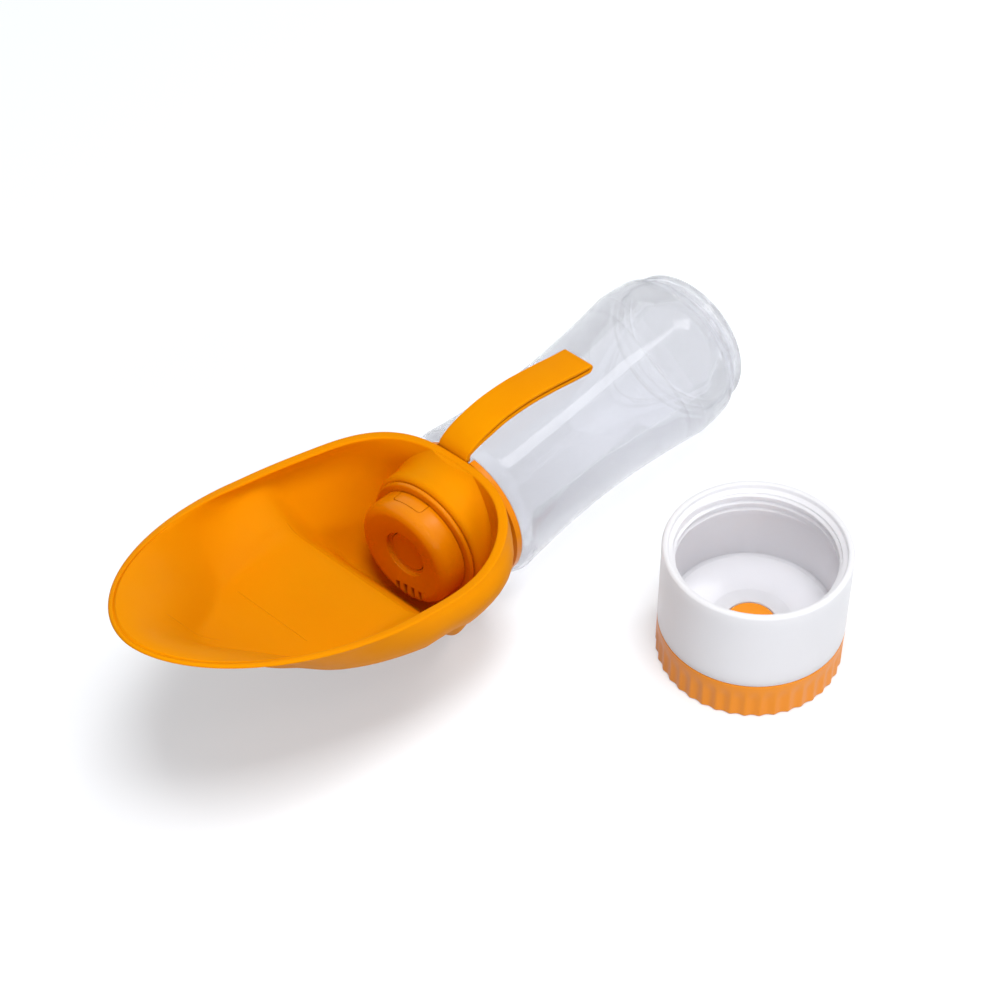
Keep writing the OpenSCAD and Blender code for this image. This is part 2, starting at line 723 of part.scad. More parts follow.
module food_cup() {
    lip_round = 1.2;
    outside = [[0, well_z - cup_floor_t], [well_r, well_z - cup_floor_t], [well_r, plinth_z],
               [plinth_r, plinth_z], [plinth_r, base_h + run_gap], [cup_r, base_h + run_gap],
               [cup_r, cup_h - lip_round], [cup_r - 0.4, cup_h - 0.4], [cup_r - lip_round, cup_h]];
    inside = [[mouth_r + 0.8, cup_h], [mouth_r, cup_h - 0.8], [mouth_r, cup_h - mouth_depth],
              [cup_thread_r, cup_h - mouth_depth - 0.8], [cup_thread_r, cup_h - thread_zone],
              [cup_bore_r, cup_h - thread_zone - 1.5], [cup_bore_r, ledge_z], [ledge_r, ledge_z],
              [ledge_r, ledge_z - 0.8], [well_r, well_z], [0, well_z]];
    color("white") at_cup() {
        difference() {
            rotate_extrude() polygon(concat(outside, inside));
            translate([0, 0, plinth_z - 1]) cylinder(r = dispense_r, h = cup_h);
        }
        thread(cup_thread_r, cup_h - thread_zone + 1.2, 5, mouth_pitch, -1);
        thread(plinth_r, base_thread_z, 4, pitch);
    }
}

module base_cap() {
    bore = plinth_r + ridge_h + thread_gap;
    color("orange") at_cup() {
        difference() {
            cylinder(r = cup_r, h = base_h);
            translate([0, 0, base_floor_t]) cylinder(r = bore, h = base_h);
            // Grip flutes
            for (k = [0 : flute_count - 1])
                rotate([0, 0, 360 * k / flute_count])
                    translate([cup_r + flute_r - flute_depth, 0, -1])
                        cylinder(r = flute_r, h = base_h - flute_top + 1);
        }
        // Plug that closes the cup's hole from below
        ring(plug_r, plug_r - plug_wall, base_floor_t - 0.1, well_z - base_floor_t);
        translate([0, 0, well_z - 1.4]) cylinder(r = plug_r, h = 1.2);
        thread(bore, base_thread_z + pitch / 2, 3, pitch, -1);
    }
}

module base_gasket() {
    color("dimgray") at_cup()
        ring(plinth_r - 0.3, plinth_r - 0.3 - gasket_w, base_floor_t + sit_gap, plinth_z - base_floor_t - 2 * sit_gap);
}

bottle();
bowl();
strap_ring();
carry_strap();
retaining_ring();
cap_shell();
valve_seat();
neck_gasket();
vent_valve();
push_button();
button_seal();
valve_stem();
valve_disc();
stem_clip();
valve_spring();
lock_button();
lock_spring();
food_cup();
base_cap();
base_gasket();
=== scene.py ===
"""Looks of the travel water bottle for dogs: finishes, smooth shells, floor, light and camera.

Shapes are worked out in millimetres, under the names that the CAD source uses, and go into the
scene in metres. u is a distance from the bottle's base end towards the bowl, so x = -u.
"""
import math

import bmesh
import bpy
from mathutils import Matrix, Vector


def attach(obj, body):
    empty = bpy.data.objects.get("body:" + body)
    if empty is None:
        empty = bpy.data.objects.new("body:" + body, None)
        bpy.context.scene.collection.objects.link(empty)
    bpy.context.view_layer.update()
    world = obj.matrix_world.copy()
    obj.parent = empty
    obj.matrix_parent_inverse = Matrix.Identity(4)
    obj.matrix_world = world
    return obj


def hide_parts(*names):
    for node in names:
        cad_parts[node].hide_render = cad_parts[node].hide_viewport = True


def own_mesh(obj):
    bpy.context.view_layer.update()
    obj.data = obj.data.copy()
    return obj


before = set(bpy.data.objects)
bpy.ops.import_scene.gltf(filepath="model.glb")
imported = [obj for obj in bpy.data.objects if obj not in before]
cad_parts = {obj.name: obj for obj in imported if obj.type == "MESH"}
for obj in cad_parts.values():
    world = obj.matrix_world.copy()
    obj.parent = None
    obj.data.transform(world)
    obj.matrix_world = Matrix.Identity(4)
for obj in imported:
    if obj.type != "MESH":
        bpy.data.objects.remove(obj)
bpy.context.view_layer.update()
MM = 0.001

# ---------------------------------------------------------------- sizes, as in the CAD, in mm
# Clearances and thread ridges
RUN_GAP = 0.3
THREAD_GAP = 0.5
PITCH = 3
MOUTH_PITCH = 4
RIDGE_H = 1.2
RIDGE_CREST = 0.3
RIDGE_BASE = 0.75
RIDGE_BEFORE = 0.3
RIDGE_AFTER = 0.5

# Bottle
BOTTLE_LEN = 149
HEEL_R = 38.1
WAIST_R = 33.1
BULGE_R = 35.9
WALL = 1.6
SPIGOT_LEN = 10
SPIGOT_R = 33.4
SPIGOT_ROOT_R = SPIGOT_R - 0.4
LAND_LEN = 2
HEEL_U = SPIGOT_LEN + 16
BASE_R = HEEL_R - 1.3
WAIST_LEN = 80
WAIST_U = SPIGOT_LEN + WAIST_LEN
SHOULDER_ROUND = 6
BULGE_U = BOTTLE_LEN - SHOULDER_ROUND
SHOULDER_R = BULGE_R - SHOULDER_ROUND
HEEL_POWER = 1.75
NECK_R = 18.8
NECK_BORE_R = NECK_R - 2.2
NECK_LEN = 23
LIP_U = BOTTLE_LEN + NECK_LEN
NECK_PLAIN = 8

# Bowl's sleeve on the neck, with the strap's ring behind it
STRAP_RING_T = 3
RING_END_U = BOTTLE_LEN + RUN_GAP + STRAP_RING_T
FLANGE_U = BOTTLE_LEN + STRAP_RING_T + 2 * RUN_GAP
FLANGE_T = 3
SLEEVE_R = 30.3
SLEEVE_WALL = 3
SLEEVE_ROUND = 2.4
FLARE_R = 12
FLARE_RISE = 1.6
FLARE_TURN = 84
WEB_T = 3
WEB_END_U = LIP_U + 1.6

# Cap, with its lock button and drip slots
SKIRT_WALL = 3.5
CAP_BORE_R = NECK_R + RIDGE_H + THREAD_GAP
SKIRT_R = CAP_BORE_R + SKIRT_WALL
SKIRT_U = FLANGE_U + FLANGE_T + RUN_GAP
KEEPER_T = 2.2
CAP_U = WEB_END_U + KEEPER_T + 2 * RUN_GAP
CAP_LEN = 12.3
FACE_U = CAP_U + CAP_LEN
CAP_R = SKIRT_R + 1
CAP_ROUND = 4.5
DISH = 1.6
BUTTON_R = 9.1
BUTTON_U = FACE_U - 3.7
BUTTON_WELL_R = BUTTON_R + RUN_GAP + 1.4
GUIDE_R = BUTTON_R + RUN_GAP
GUIDE_WALL = 1.6
GUIDE_DROP = 1.2
FACE_T = 2.6
CHAMBER_R = CAP_BORE_R - 2.2
CHAMBER_U = LIP_U + 3.8
CHAMBER_END_U = BUTTON_U - FACE_T
THUMB_DEPTH = 1.3
THUMB_TILT = 32
LOCK_TURN = 7
LOCK_W = 15.5
LOCK_LEN = 5.7
LOCK_CORNER = 1.7
LOCK_U = CAP_U + RUN_GAP
LOCK_T = 2.3
LOCK_FLOOR_R = CAP_R - 4.6
LOCK_HOLE_R = 2.2
LOCK_HOLE_TOP_R = CAP_R - 1.2
LOCK_EDGE = 0.45
LOCK_CUT_OUT = 4
SLOT_COUNT = 4
SLOT_TURN = 10
SLOT_W = 2.2
SLOT_CUT_IN = 1.5
SLOT_CUT_OUT = 1
SLOT_CUT_BACK = 3

# Food cup, as heights over the ground
CUP_AT = (-101.2, -120.6, -HEEL_R)
CUP_WALL = 4.8
CUP_THREAD_R = SPIGOT_R + RIDGE_H + THREAD_GAP
CUP_R = CUP_THREAD_R + CUP_WALL
CUP_H = 60.9
BASE_H = 18.8
BASE_WALL = 2.6
MOUTH_R = BASE_R + RUN_GAP
MOUTH_DEPTH = 2.2
CUP_BORE_R = CUP_THREAD_R + 0.8
THREAD_ZONE = 14.5
CUP_FOOT_Z = BASE_H + RUN_GAP
LEDGE_Z = BASE_H + 1.6
LEDGE_R = CUP_BORE_R - 2.2
WELL_R = 18
WELL_Z = BASE_H - 2.6
CUP_FLOOR_T = 2.4
HOLE_R = 11
PLINTH_R = CUP_R - BASE_WALL - THREAD_GAP - RIDGE_H
PLINTH_Z = 6
BASE_THREAD_Z = 8.5
BASE_FLOOR_T = 2.4
BASE_BORE_R = PLINTH_R + RIDGE_H + THREAD_GAP
PLUG_R = HOLE_R - RUN_GAP
PLUG_TOP_Z = WELL_Z - 0.2
FLUTES = 40
FLUTE_DEPTH = 0.8
FLUTE_POWER = 0.75
FLUTE_FADE = (BASE_H - 9, BASE_H - 2.2)

# Where each thread starts and ends along its own axis
SPIGOT_THREAD = (3.6, 8.4)
NECK_THREAD = (BOTTLE_LEN + 11, BOTTLE_LEN + 17)
CAP_THREAD = (SKIRT_U + 5.5, SKIRT_U + 10)
MOUTH_THREAD = (CUP_H - THREAD_ZONE + 1.6, CUP_H - 4)
PLINTH_THREAD = (BASE_THREAD_Z, BASE_THREAD_Z + 6)
BASE_THREAD = (BASE_THREAD_Z + 1.5, BASE_THREAD_Z + 6)

# Bowl
BOWL_BACK = 77
BOWL_FRONT = 104.5
BOWL_W = 112.2
BOWL_U = FLANGE_U + BOWL_BACK
BACK_POWER = 2.7
FRONT_POWER = 1.9
RIM_LOW_Z = 29.9
RIM_LOW_U = FLANGE_U + 33
RIM_EASE = 20
RIM_RISE = 0.27
RIM_BACK_RISE = 0.17
RIM_W = 4
LIP_W = 2
RIM_ROUND = 0.9
BACK_SWELL = 0.2
FRONT_SWELL = 0.11
LIP_SWAY = 1.2
LIP_TWIST = 2.4
UNDER_START = 0.2
UNDER_POWER = 3.2
FLOOR_START = 0.53
FLOOR_POWER = 2
FLOOR_WALL = 3
FLOOR_CREASE = 1.5
SUMP_HALF_W = 65
SUMP_CREASE = 2
# Distance in front of the flange, height over the bottle's axis
BOWL_FLOOR = [(15, -35), (33, -31.5), (46, -13), (58, 4), (66, 13), (84, 16), (111, 19), (147, 35.5),
              (184, 63)]
BOWL_UNDER = [(15, -HEEL_R - SUMP_CREASE / 2), (33, -34.4), (47.5, -17), (60, -7), (83, -7), (111, 0.5),
              (147, 31.5), (184, 60)]

# Strap: distance behind its ring's front, sideways shift, height over the axis, thickness
STRAP_W = 16
STRAP_T = 1.9
STRAP_GAP = 0.8
STRAP_THICK = 2 * STRAP_T + STRAP_GAP
STRAP_ROUND = 0.7
STRAP_ROUTE = [(0, 4.4, 31, 3), (0.4, 4.4, 34, 3), (1.7, 3.8, 36.6, 3.1), (4.3, 3.3, 39, 3.6),
               (7.8, 2.8, 41.2, 4.2), (12.8, 2.2, 43.3, STRAP_THICK), (21, 1.6, 45.3, STRAP_THICK),
               (30.5, 1.1, 45.9, STRAP_THICK), (39.5, 0.8, 45.5, STRAP_THICK),
               (48.5, 0.5, 44.3, STRAP_THICK), (57.5, 0.3, 42.7, STRAP_THICK),
               (66.5, 0.1, 40.9, STRAP_THICK), (75, 0, 39.4, STRAP_THICK)]

# How finely the shells are drawn
BOTTLE_SIDES = 240
BODY_STEPS = 80
SCOOP_ANGLES = 200
SCOOP_STEPS = 54
SLEEVE_SIDES = 160
TRIM_ANGLES = 120
TRIM_SHARES = [0.002, 0.2, 0.4, 0.55, 0.68, 0.78, 0.86, 0.92, 0.96, 0.985, 1]
CUTTER_SIDES = 96
CAP_SIDES = 192
HOLE_SIDES = 24
CUP_SIDES = 200
SIDES_PER_FLUTE = 12
STRAP_STEPS = 6
FOLD_STEPS = 12


# ---------------------------------------------------------------- mesh helpers
def add_mesh(name, points_mm, faces, material, sharp_deg=32):
    """A smooth-shaded object from points in millimetres, with its creases marked sharp."""
    mesh = bpy.data.meshes.new(name)
    mesh.from_pydata([(x * MM, y * MM, z * MM) for x, y, z in points_mm], [], faces)
    bm = bmesh.new()
    bm.from_mesh(mesh)
    bmesh.ops.remove_doubles(bm, verts=bm.verts, dist=1e-6)
    bmesh.ops.recalc_face_normals(bm, faces=bm.faces)
    bm.to_mesh(mesh)
    bm.free()
    mark_creases(mesh, sharp_deg)
    mesh.materials.append(material)
    piece = bpy.data.objects.new(name, mesh)
    bpy.context.scene.collection.objects.link(piece)
    return piece


def mark_creases(mesh, sharp_deg):
    """Smooth shading that breaks at edges sharper than an angle."""
    bm = bmesh.new()
    bm.from_mesh(mesh)
    for face in bm.faces:
        face.smooth = True
    for edge in bm.edges:
        edge.smooth = len(edge.link_faces) != 2 or edge.calc_face_angle(0) < math.radians(sharp_deg)
    bm.to_mesh(mesh)
    bm.free()


def grid_faces(rows, columns, close_rows=True, close_columns=True):
    """Quads over a grid of points that wraps round in either direction."""
    faces = []
    for i in range(rows if close_rows else rows - 1):
        for j in range(columns if close_columns else columns - 1):
            a = i * columns + j
            b = i * columns + (j + 1) % columns
            c = ((i + 1) % rows) * columns + (j + 1) % columns
            d = ((i + 1) % rows) * columns + j
            faces.append((a, b, c, d))
    return faces


def smooth_step(a, b, x):
    t = min(1, max(0, (x - a) / (b - a)))
    return t * t * (3 - 2 * t)


def ridge(u, turn, start, end, pitch):
    """Height of a right-hand thread over its root, at a distance u and a share of a turn."""
    phase = (u - start) / pitch - turn
    off = abs(phase - round(phase)) * pitch
    middle = start + (round(phase) + turn) * pitch
    fade = (smooth_step(start - RIDGE_BEFORE, start + RIDGE_AFTER, middle)
            * (1 - smooth_step(end - RIDGE_AFTER, end + RIDGE_BEFORE, middle)))
    return RIDGE_H * fade * (1 - smooth_step(RIDGE_CREST, RIDGE_BASE, off))


def fillet(before, corner, after, radius, steps=6):
    """Points that round a corner of an outline."""
    a = (Vector(before) - Vector(corner)).normalized()
    b = (Vector(after) - Vector(corner)).normalized()
    half = a.angle(b) / 2
    reach = radius / math.tan(half)
    centre = Vector(corner) + (a + b).normalized() * (radius / math.sin(half))
    start = Vector(corner) + a * reach - centre
    end = Vector(corner) + b * reach - centre
    points = []
    for k in range(steps + 1):
        mix = start.lerp(end, k / steps)
        points.append(tuple(centre + mix.normalized() * radius))
    return points


# Stands for a radius of 0
AXIS_R = 0.001


def lathe(name, section, finish, sides, lift=None, cup_space=False, sharp_deg=40):
    """A turned shell from a section of (radius, height), closed unless it starts on the axis.

    lift gives a height over the radius for (radius, height, share of a turn). The axis is the
    bottle's, with height as u, or the cup's in cup_space.
    """
    points = []
    for r, h in section:
        for k in range(sides):
            turn = k / sides
            a = 2 * math.pi * turn
            radius = r + (lift(r, h, turn) if lift else 0)
            if cup_space:
                points.append((CUP_AT[0] + radius * math.cos(a), CUP_AT[1] + radius * math.sin(a),
                               CUP_AT[2] + h))
            else:
                points.append((-h, radius * math.sin(a), radius * math.cos(a)))
    faces = grid_faces(len(section), sides, close_rows=section[0][0] > AXIS_R)
    return add_mesh(name, points, faces, finish, sharp_deg)


def boolean(piece, other, operation):
    """Cuts piece with other, or keeps what they share, and removes other."""
    modifier = piece.modifiers.new("cut", "BOOLEAN")
    modifier.operation = operation
    modifier.object = other
    modifier.solver = "EXACT"
    bpy.context.view_layer.objects.active = piece
    bpy.ops.object.modifier_apply(modifier=modifier.name)
    mark_creases(piece.data, 40)
    bpy.data.objects.remove(other)


# ---------------------------------------------------------------- materials
def material(name, color, roughness, **sockets):
    """A Principled material with constant sockets; detail is added by the functions below."""
    mat = bpy.data.materials.new(name)
    mat.use_nodes = True
    shader = mat.node_tree.nodes["Principled BSDF"]
    shader.inputs["Base Color"].default_value = (*color, 1)
    shader.inputs["Roughness"].default_value = roughness
    for socket, value in sockets.items():
        shader.inputs[socket.replace("_", " ")].default_value = value
    return mat


def node(mat, kind, **settings):
    made = mat.node_tree.nodes.new(kind)
    for key, value in settings.items():
        if key in made.inputs:
            made.inputs[key].default_value = value
        else:
            setattr(made, key, value)
    return made


def link(mat, source, target):
    mat.node_tree.links.new(source, target)


def object_noise(mat, scale, detail=2.0):
    """Noise in the object's own space, with scale in features per metre."""
    coordinates = node(mat, "ShaderNodeTexCoord")
    noise = node(mat, "ShaderNodeTexNoise", Scale=scale, Detail=detail)
    link(mat, coordinates.outputs["Object"], noise.inputs["Vector"])
    return noise.outputs["Fac"]


def vary_color(mat, low, high, scale):
    """Lets the colour drift between two near tones."""
    ramp = node(mat, "ShaderNodeValToRGB")
    ramp.color_ramp.elements[0].position = 0.35
    ramp.color_ramp.elements[0].color = (*low, 1)
    ramp.color_ramp.elements[1].position = 0.65
    ramp.color_ramp.elements[1].color = (*high, 1)
    link(mat, object_noise(mat, scale, 3.0), ramp.inputs["Fac"])
    link(mat, ramp.outputs["Color"], mat.node_tree.nodes["Principled BSDF"].inputs["Base Color"])


def vary_roughness(mat, low, high, scale):
    """Lets the roughness drift between two values."""
    spread = node(mat, "ShaderNodeMapRange")
    spread.inputs["From Min"].default_value = 0.3
    spread.inputs["From Max"].default_value = 0.7
    spread.inputs["To Min"].default_value = low
    spread.inputs["To Max"].default_value = high
    link(mat, object_noise(mat, scale, 4.0), spread.inputs["Value"])
    link(mat, spread.outputs["Result"], mat.node_tree.nodes["Principled BSDF"].inputs["Roughness"])


def grain(mat, scale, height, edge_round=0.0):
    """Fine moulded texture over edges rounded by edge_round metres."""
    shader = mat.node_tree.nodes["Principled BSDF"]
    bump = node(mat, "ShaderNodeBump", Strength=1.0, Distance=height)
    link(mat, object_noise(mat, scale, 2.0), bump.inputs["Height"])
    if edge_round:
        bevel = node(mat, "ShaderNodeBevel", Radius=edge_round, samples=4)
        link(mat, bevel.outputs["Normal"], bump.inputs["Normal"])
    link(mat, bump.outputs["Normal"], shader.inputs["Normal"])
    return bump


def mould_lines(mat, bump, lines, half_width, height):
    """Fine raised lines seen from above, each from (x, y) to (x, y) in metres."""
    place = node(mat, "ShaderNodeTexCoord")
    flat = node(mat, "ShaderNodeVectorMath", operation="MULTIPLY")
    flat.inputs[1].default_value = (1, 1, 0)
    link(mat, place.outputs["Object"], flat.inputs[0])
    total = None
    for start, end in lines:
        run = Vector((end[0] - start[0], end[1] - start[1], 0))
        offset = node(mat, "ShaderNodeVectorMath", operation="SUBTRACT")
        offset.inputs[1].default_value = (*start, 0)
        link(mat, flat.outputs[0], offset.inputs[0])
        along = node(mat, "ShaderNodeVectorMath", operation="DOT_PRODUCT")
        along.inputs[1].default_value = run / run.length_squared
        link(mat, offset.outputs[0], along.inputs[0])
        held = node(mat, "ShaderNodeClamp")
        link(mat, along.outputs["Value"], held.inputs["Value"])
        foot = node(mat, "ShaderNodeVectorMath", operation="SCALE")
        foot.inputs[0].default_value = run
        link(mat, held.outputs[0], foot.inputs["Scale"])
        gap = node(mat, "ShaderNodeVectorMath", operation="DISTANCE")
        link(mat, offset.outputs[0], gap.inputs[0])
        link(mat, foot.outputs[0], gap.inputs[1])
        near = node(mat, "ShaderNodeMapRange", interpolation_type="SMOOTHSTEP")
        near.inputs["From Max"].default_value = half_width
        near.inputs["To Min"].default_value = 1.0
        near.inputs["To Max"].default_value = 0.0
        link(mat, gap.outputs["Value"], near.inputs["Value"])
        if total is None:
            total = near.outputs["Result"]
        else:
            both = node(mat, "ShaderNodeMath", operation="MAXIMUM")
            link(mat, total, both.inputs[0])
            link(mat, near.outputs["Result"], both.inputs[1])
            total = both.outputs[0]
    # Only on faces that look up
    facing = node(mat, "ShaderNodeNewGeometry")
    split = node(mat, "ShaderNodeSeparateXYZ")
    link(mat, facing.outputs["Normal"], split.inputs[0])
    upward = node(mat, "ShaderNodeMath", operation="GREATER_THAN")
    upward.inputs[1].default_value = 0.1
    link(mat, split.outputs["Z"], upward.inputs[0])
    shown = node(mat, "ShaderNodeMath", operation="MULTIPLY")
    link(mat, total, shown.inputs[0])
    link(mat, upward.outputs[0], shown.inputs[1])
    raised = node(mat, "ShaderNodeBump", Strength=1.0, Distance=height)
    link(mat, shown.outputs[0], raised.inputs["Height"])
    link(mat, bump.outputs["Normal"], raised.inputs["Normal"])
    link(mat, raised.outputs["Normal"], mat.node_tree.nodes["Principled BSDF"].inputs["Normal"])


def clear_shadows(mat, share, thin):
    """Lets lamps and part of the view straight through, as a thin clear wall does."""
    output = mat.node_tree.nodes["Material Output"]
    shader = mat.node_tree.nodes["Principled BSDF"]
    path = node(mat, "ShaderNodeLightPath")
    level = node(mat, "ShaderNodeMapRange")
    level.inputs["To Min"].default_value = thin
    level.inputs["To Max"].default_value = 1.0
    link(mat, path.outputs["Is Shadow Ray"], level.inputs["Value"])
    through = node(mat, "ShaderNodeBsdfTransparent", Color=(share, share, share * 1.01, 1))
    mix = node(mat, "ShaderNodeMixShader")
    link(mat, level.outputs["Result"], mix.inputs[0])
    link(mat, shader.outputs["BSDF"], mix.inputs[1])
    link(mat, through.outputs["BSDF"], mix.inputs[2])
    link(mat, mix.outputs["Shader"], output.inputs["Surface"])


# Colours are linear, noise scales are features per metre, and bump heights are metres
SILICONE = (0.74, 0.242, 0.0)
SILICONE_LIGHT = (0.76, 0.255, 0.0)
# The two plastic colours below are a shaded and a lit copy of one orange plastic. The darker one is
# painted shade, used on the cap and the small parts at the bowl's back. The lighter one is used on the
# base cap in the open.
PLASTIC_SHADED = (0.72, 0.215, 0.0)
PLASTIC_LIT = (0.88, 0.28, 0.004)

silicone = material("silicone", SILICONE, 0.5, Subsurface_Weight=0.08, Subsurface_Scale=0.004,
                    Subsurface_Radius=(1.0, 0.35, 0.05), IOR=1.13, Specular_IOR_Level=0.5)
vary_color(silicone, SILICONE, SILICONE_LIGHT, 22)
vary_roughness(silicone, 0.44, 0.56, 60)
MOULD_LINES = [((-0.218, 0.038), (-0.218, -0.035)), ((-0.2605, 0.023), (-0.2605, -0.0165)),
               ((-0.305, 0.0125), (-0.291, 0.0007))]
mould_lines(silicone, grain(silicone, 1400, 0.00003), MOULD_LINES, half_width=0.0006,
            height=0.0002)

strap_silicone = material("strap_silicone", SILICONE_LIGHT, 0.55, Subsurface_Weight=0.06,
                          Subsurface_Scale=0.003, Subsurface_Radius=(1.0, 0.35, 0.05),
                          IOR=1.12, Specular_IOR_Level=0.5)
vary_color(strap_silicone, SILICONE_LIGHT, (0.78, 0.275, 0.0), 40)
grain(strap_silicone, 1800, 0.00003)

# Carries the darker copy of the orange plastic: painted shade for the cap in the bowl.
orange_plastic = material("orange_plastic", PLASTIC_SHADED, 0.3, IOR=1.3, Specular_IOR_Level=0.5)
vary_roughness(orange_plastic, 0.26, 0.34, 90)
grain(orange_plastic, 2600, 0.00001, edge_round=0.0003)

# Carries the lighter, lit copy of the same orange plastic.
lit_fluted_plastic = material("lit_fluted_plastic", PLASTIC_LIT, 0.36, Specular_IOR_Level=0.45)
vary_roughness(lit_fluted_plastic, 0.33, 0.4, 60)
grain(lit_fluted_plastic, 2600, 0.00001)

white_plastic = material("white_plastic", (0.79, 0.79, 0.83), 0.3, Coat_Weight=0.1,
                         Coat_Roughness=0.1, Subsurface_Weight=0.5, Subsurface_Scale=0.012,
                         Subsurface_Radius=(1.0, 1.0, 1.0))
vary_roughness(white_plastic, 0.28, 0.32, 30)
grain(white_plastic, 2600, 0.000006)

white_inner = material("white_inner", (0.78, 0.78, 0.78), 0.4)
vary_roughness(white_inner, 0.36, 0.46, 120)
grain(white_inner, 2600, 0.00001, edge_round=0.0002)

seal_rubber = material("seal_rubber", (0.62, 0.62, 0.60), 0.6, Sheen_Weight=0.1)
vary_color(seal_rubber, (0.60, 0.60, 0.58), (0.66, 0.66, 0.64), 300)
grain(seal_rubber, 3000, 0.00001, edge_round=0.0002)

spring_steel = material("spring_steel", (0.62, 0.62, 0.64), 0.28, Metallic=1.0)
vary_roughness(spring_steel, 0.2, 0.36, 900)
grain(spring_steel, 4000, 0.000004)

clear_plastic = material("clear_plastic", (0.885, 0.885, 0.905), 0.03, Transmission_Weight=1.0,
                         IOR=1.3)
vary_roughness(clear_plastic, 0.02, 0.05, 45)
clear_shadows(clear_plastic, share=0.9, thin=0.4)

# CAD pieces that are shown as they are, or copied
CAD_FINISH = {
    "strap_ring": orange_plastic, "retaining_ring": orange_plastic, "push_button": orange_plastic,
    "valve_seat": white_inner, "valve_stem": white_inner, "neck_gasket": seal_rubber,
    "vent_valve": seal_rubber, "button_seal": seal_rubber, "valve_disc": seal_rubber,
    "base_gasket": seal_rubber, "stem_clip": spring_steel, "valve_spring": spring_steel,
    "lock_spring": spring_steel}
for name, finish in CAD_FINISH.items():
    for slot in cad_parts[name].material_slots:
        slot.material = finish


def make_spring(name, node):
    """Copy of a CAD spring, carried by the cap in place of the CAD node."""
    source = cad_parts[node]
    mesh = source.data.copy()
    mesh.transform(source.matrix_world)
    piece = bpy.data.objects.new(name, mesh)
    bpy.context.scene.collection.objects.link(piece)
    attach(piece, "cap")
    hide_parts(node)
    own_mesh(piece)


make_spring("valve_coil", "valve_spring")
make_spring("lock_coil", "lock_spring")


# ---------------------------------------------------------------- bottle
def body_r(u):
    """Outer radius of the body, over the heel, down to the waist and up to the bulge."""
    if u < HEEL_U:
        return HEEL_R - (HEEL_R - BASE_R) * ((HEEL_U - u) / (HEEL_U - SPIGOT_LEN)) ** 2
    if u < WAIST_U:
        return WAIST_R + (HEEL_R - WAIST_R) * ((WAIST_U - u) / (WAIST_U - HEEL_U)) ** HEEL_POWER
    return WAIST_R + (BULGE_R - WAIST_R) * ((u - WAIST_U) / (BULGE_U - WAIST_U)) ** 2


def body_line(inset):
    """The body's outline moved in by inset, as (radius, u), up to the top of its shoulder."""
    first = SPIGOT_LEN + inset + 1.2
    stations = [first + (BULGE_U - first) * k / BODY_STEPS for k in range(BODY_STEPS + 1)]
    line = [(body_r(u) - inset, u) for u in stations]
    corner = SHOULDER_ROUND - inset
    steps = 8
    for k in range(1, steps + 1):
        a = math.radians(90 * k / steps)
        line.append((SHOULDER_R + corner * math.cos(a), BULGE_U + corner * math.sin(a)))
    return line


def bottle_section():
    """The bottle's wall as (radius, u): base, spigot, body, neck, lip, and back down the inside."""
    base = [(AXIS_R, 0), (10, 0.25), (30, 0.25)] + fillet((30, 0), (SPIGOT_R, 0), (SPIGOT_R, 3), 0.8)
    spigot = [(SPIGOT_ROOT_R, LAND_LEN + 0.2 * k) for k in range(37)]
    step = (fillet((SPIGOT_R, 5), (SPIGOT_ROOT_R, SPIGOT_LEN), (BASE_R, SPIGOT_LEN), 0.4, 3)
            + fillet((SPIGOT_R, SPIGOT_LEN), (body_r(SPIGOT_LEN), SPIGOT_LEN), (body_r(20), 20), 1.1))
    neck = fillet((SHOULDER_R, BOTTLE_LEN), (NECK_R, BOTTLE_LEN), (NECK_R, LIP_U), 0.5, 3)
    neck += [(NECK_R, BOTTLE_LEN + NECK_PLAIN + 0.3 * k) for k in range(46)]
    lip = (fillet((NECK_R, BOTTLE_LEN), (NECK_R, LIP_U), (NECK_BORE_R, LIP_U), 0.5, 3)
           + fillet((NECK_R, LIP_U), (NECK_BORE_R, LIP_U), (NECK_BORE_R, BOTTLE_LEN), 0.5, 3)
           + fillet((NECK_BORE_R, LIP_U), (NECK_BORE_R, BOTTLE_LEN - WALL),
                    (SHOULDER_R, BOTTLE_LEN - WALL), 0.8, 3))
    inner_root = SPIGOT_R - WALL
    foot = (fillet((body_r(20), SPIGOT_LEN + WALL), (inner_root, SPIGOT_LEN + WALL),
                   (inner_root, LAND_LEN), 0.8, 3)
            + fillet((inner_root, SPIGOT_LEN), (inner_root, LAND_LEN), (0, LAND_LEN), 1.4)
            + [(AXIS_R, LAND_LEN)])
    return (base + spigot + step + body_line(0) + neck + lip + list(reversed(body_line(WALL)))
            + foot)


def make_bottle():
    def lift(r, u, turn):
        if r == SPIGOT_ROOT_R:
            return ridge(u, turn, *SPIGOT_THREAD, MOUTH_PITCH)
        return ridge(u, turn, *NECK_THREAD, PITCH) if r == NECK_R else 0

    piece = lathe("bottle_shell", bottle_section(), clear_plastic, BOTTLE_SIDES, lift)
    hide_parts("bottle")
    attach(piece, "bottle_body")


# ---------------------------------------------------------------- bowl
# Its shape follows the CAD source's functions of the same names
def signed_power(value, m):
    """Share of a superellipse's half width, from a cosine or sine."""
    return math.copysign(abs(value) ** (2 / m), value)


def rim_z(u):
    """Height of the rim, which rises both ways from its lowest place."""
    d = u - RIM_LOW_U
    return RIM_LOW_Z + (RIM_RISE if d > 0 else RIM_BACK_RISE) * (math.hypot(d, RIM_EASE) - RIM_EASE)


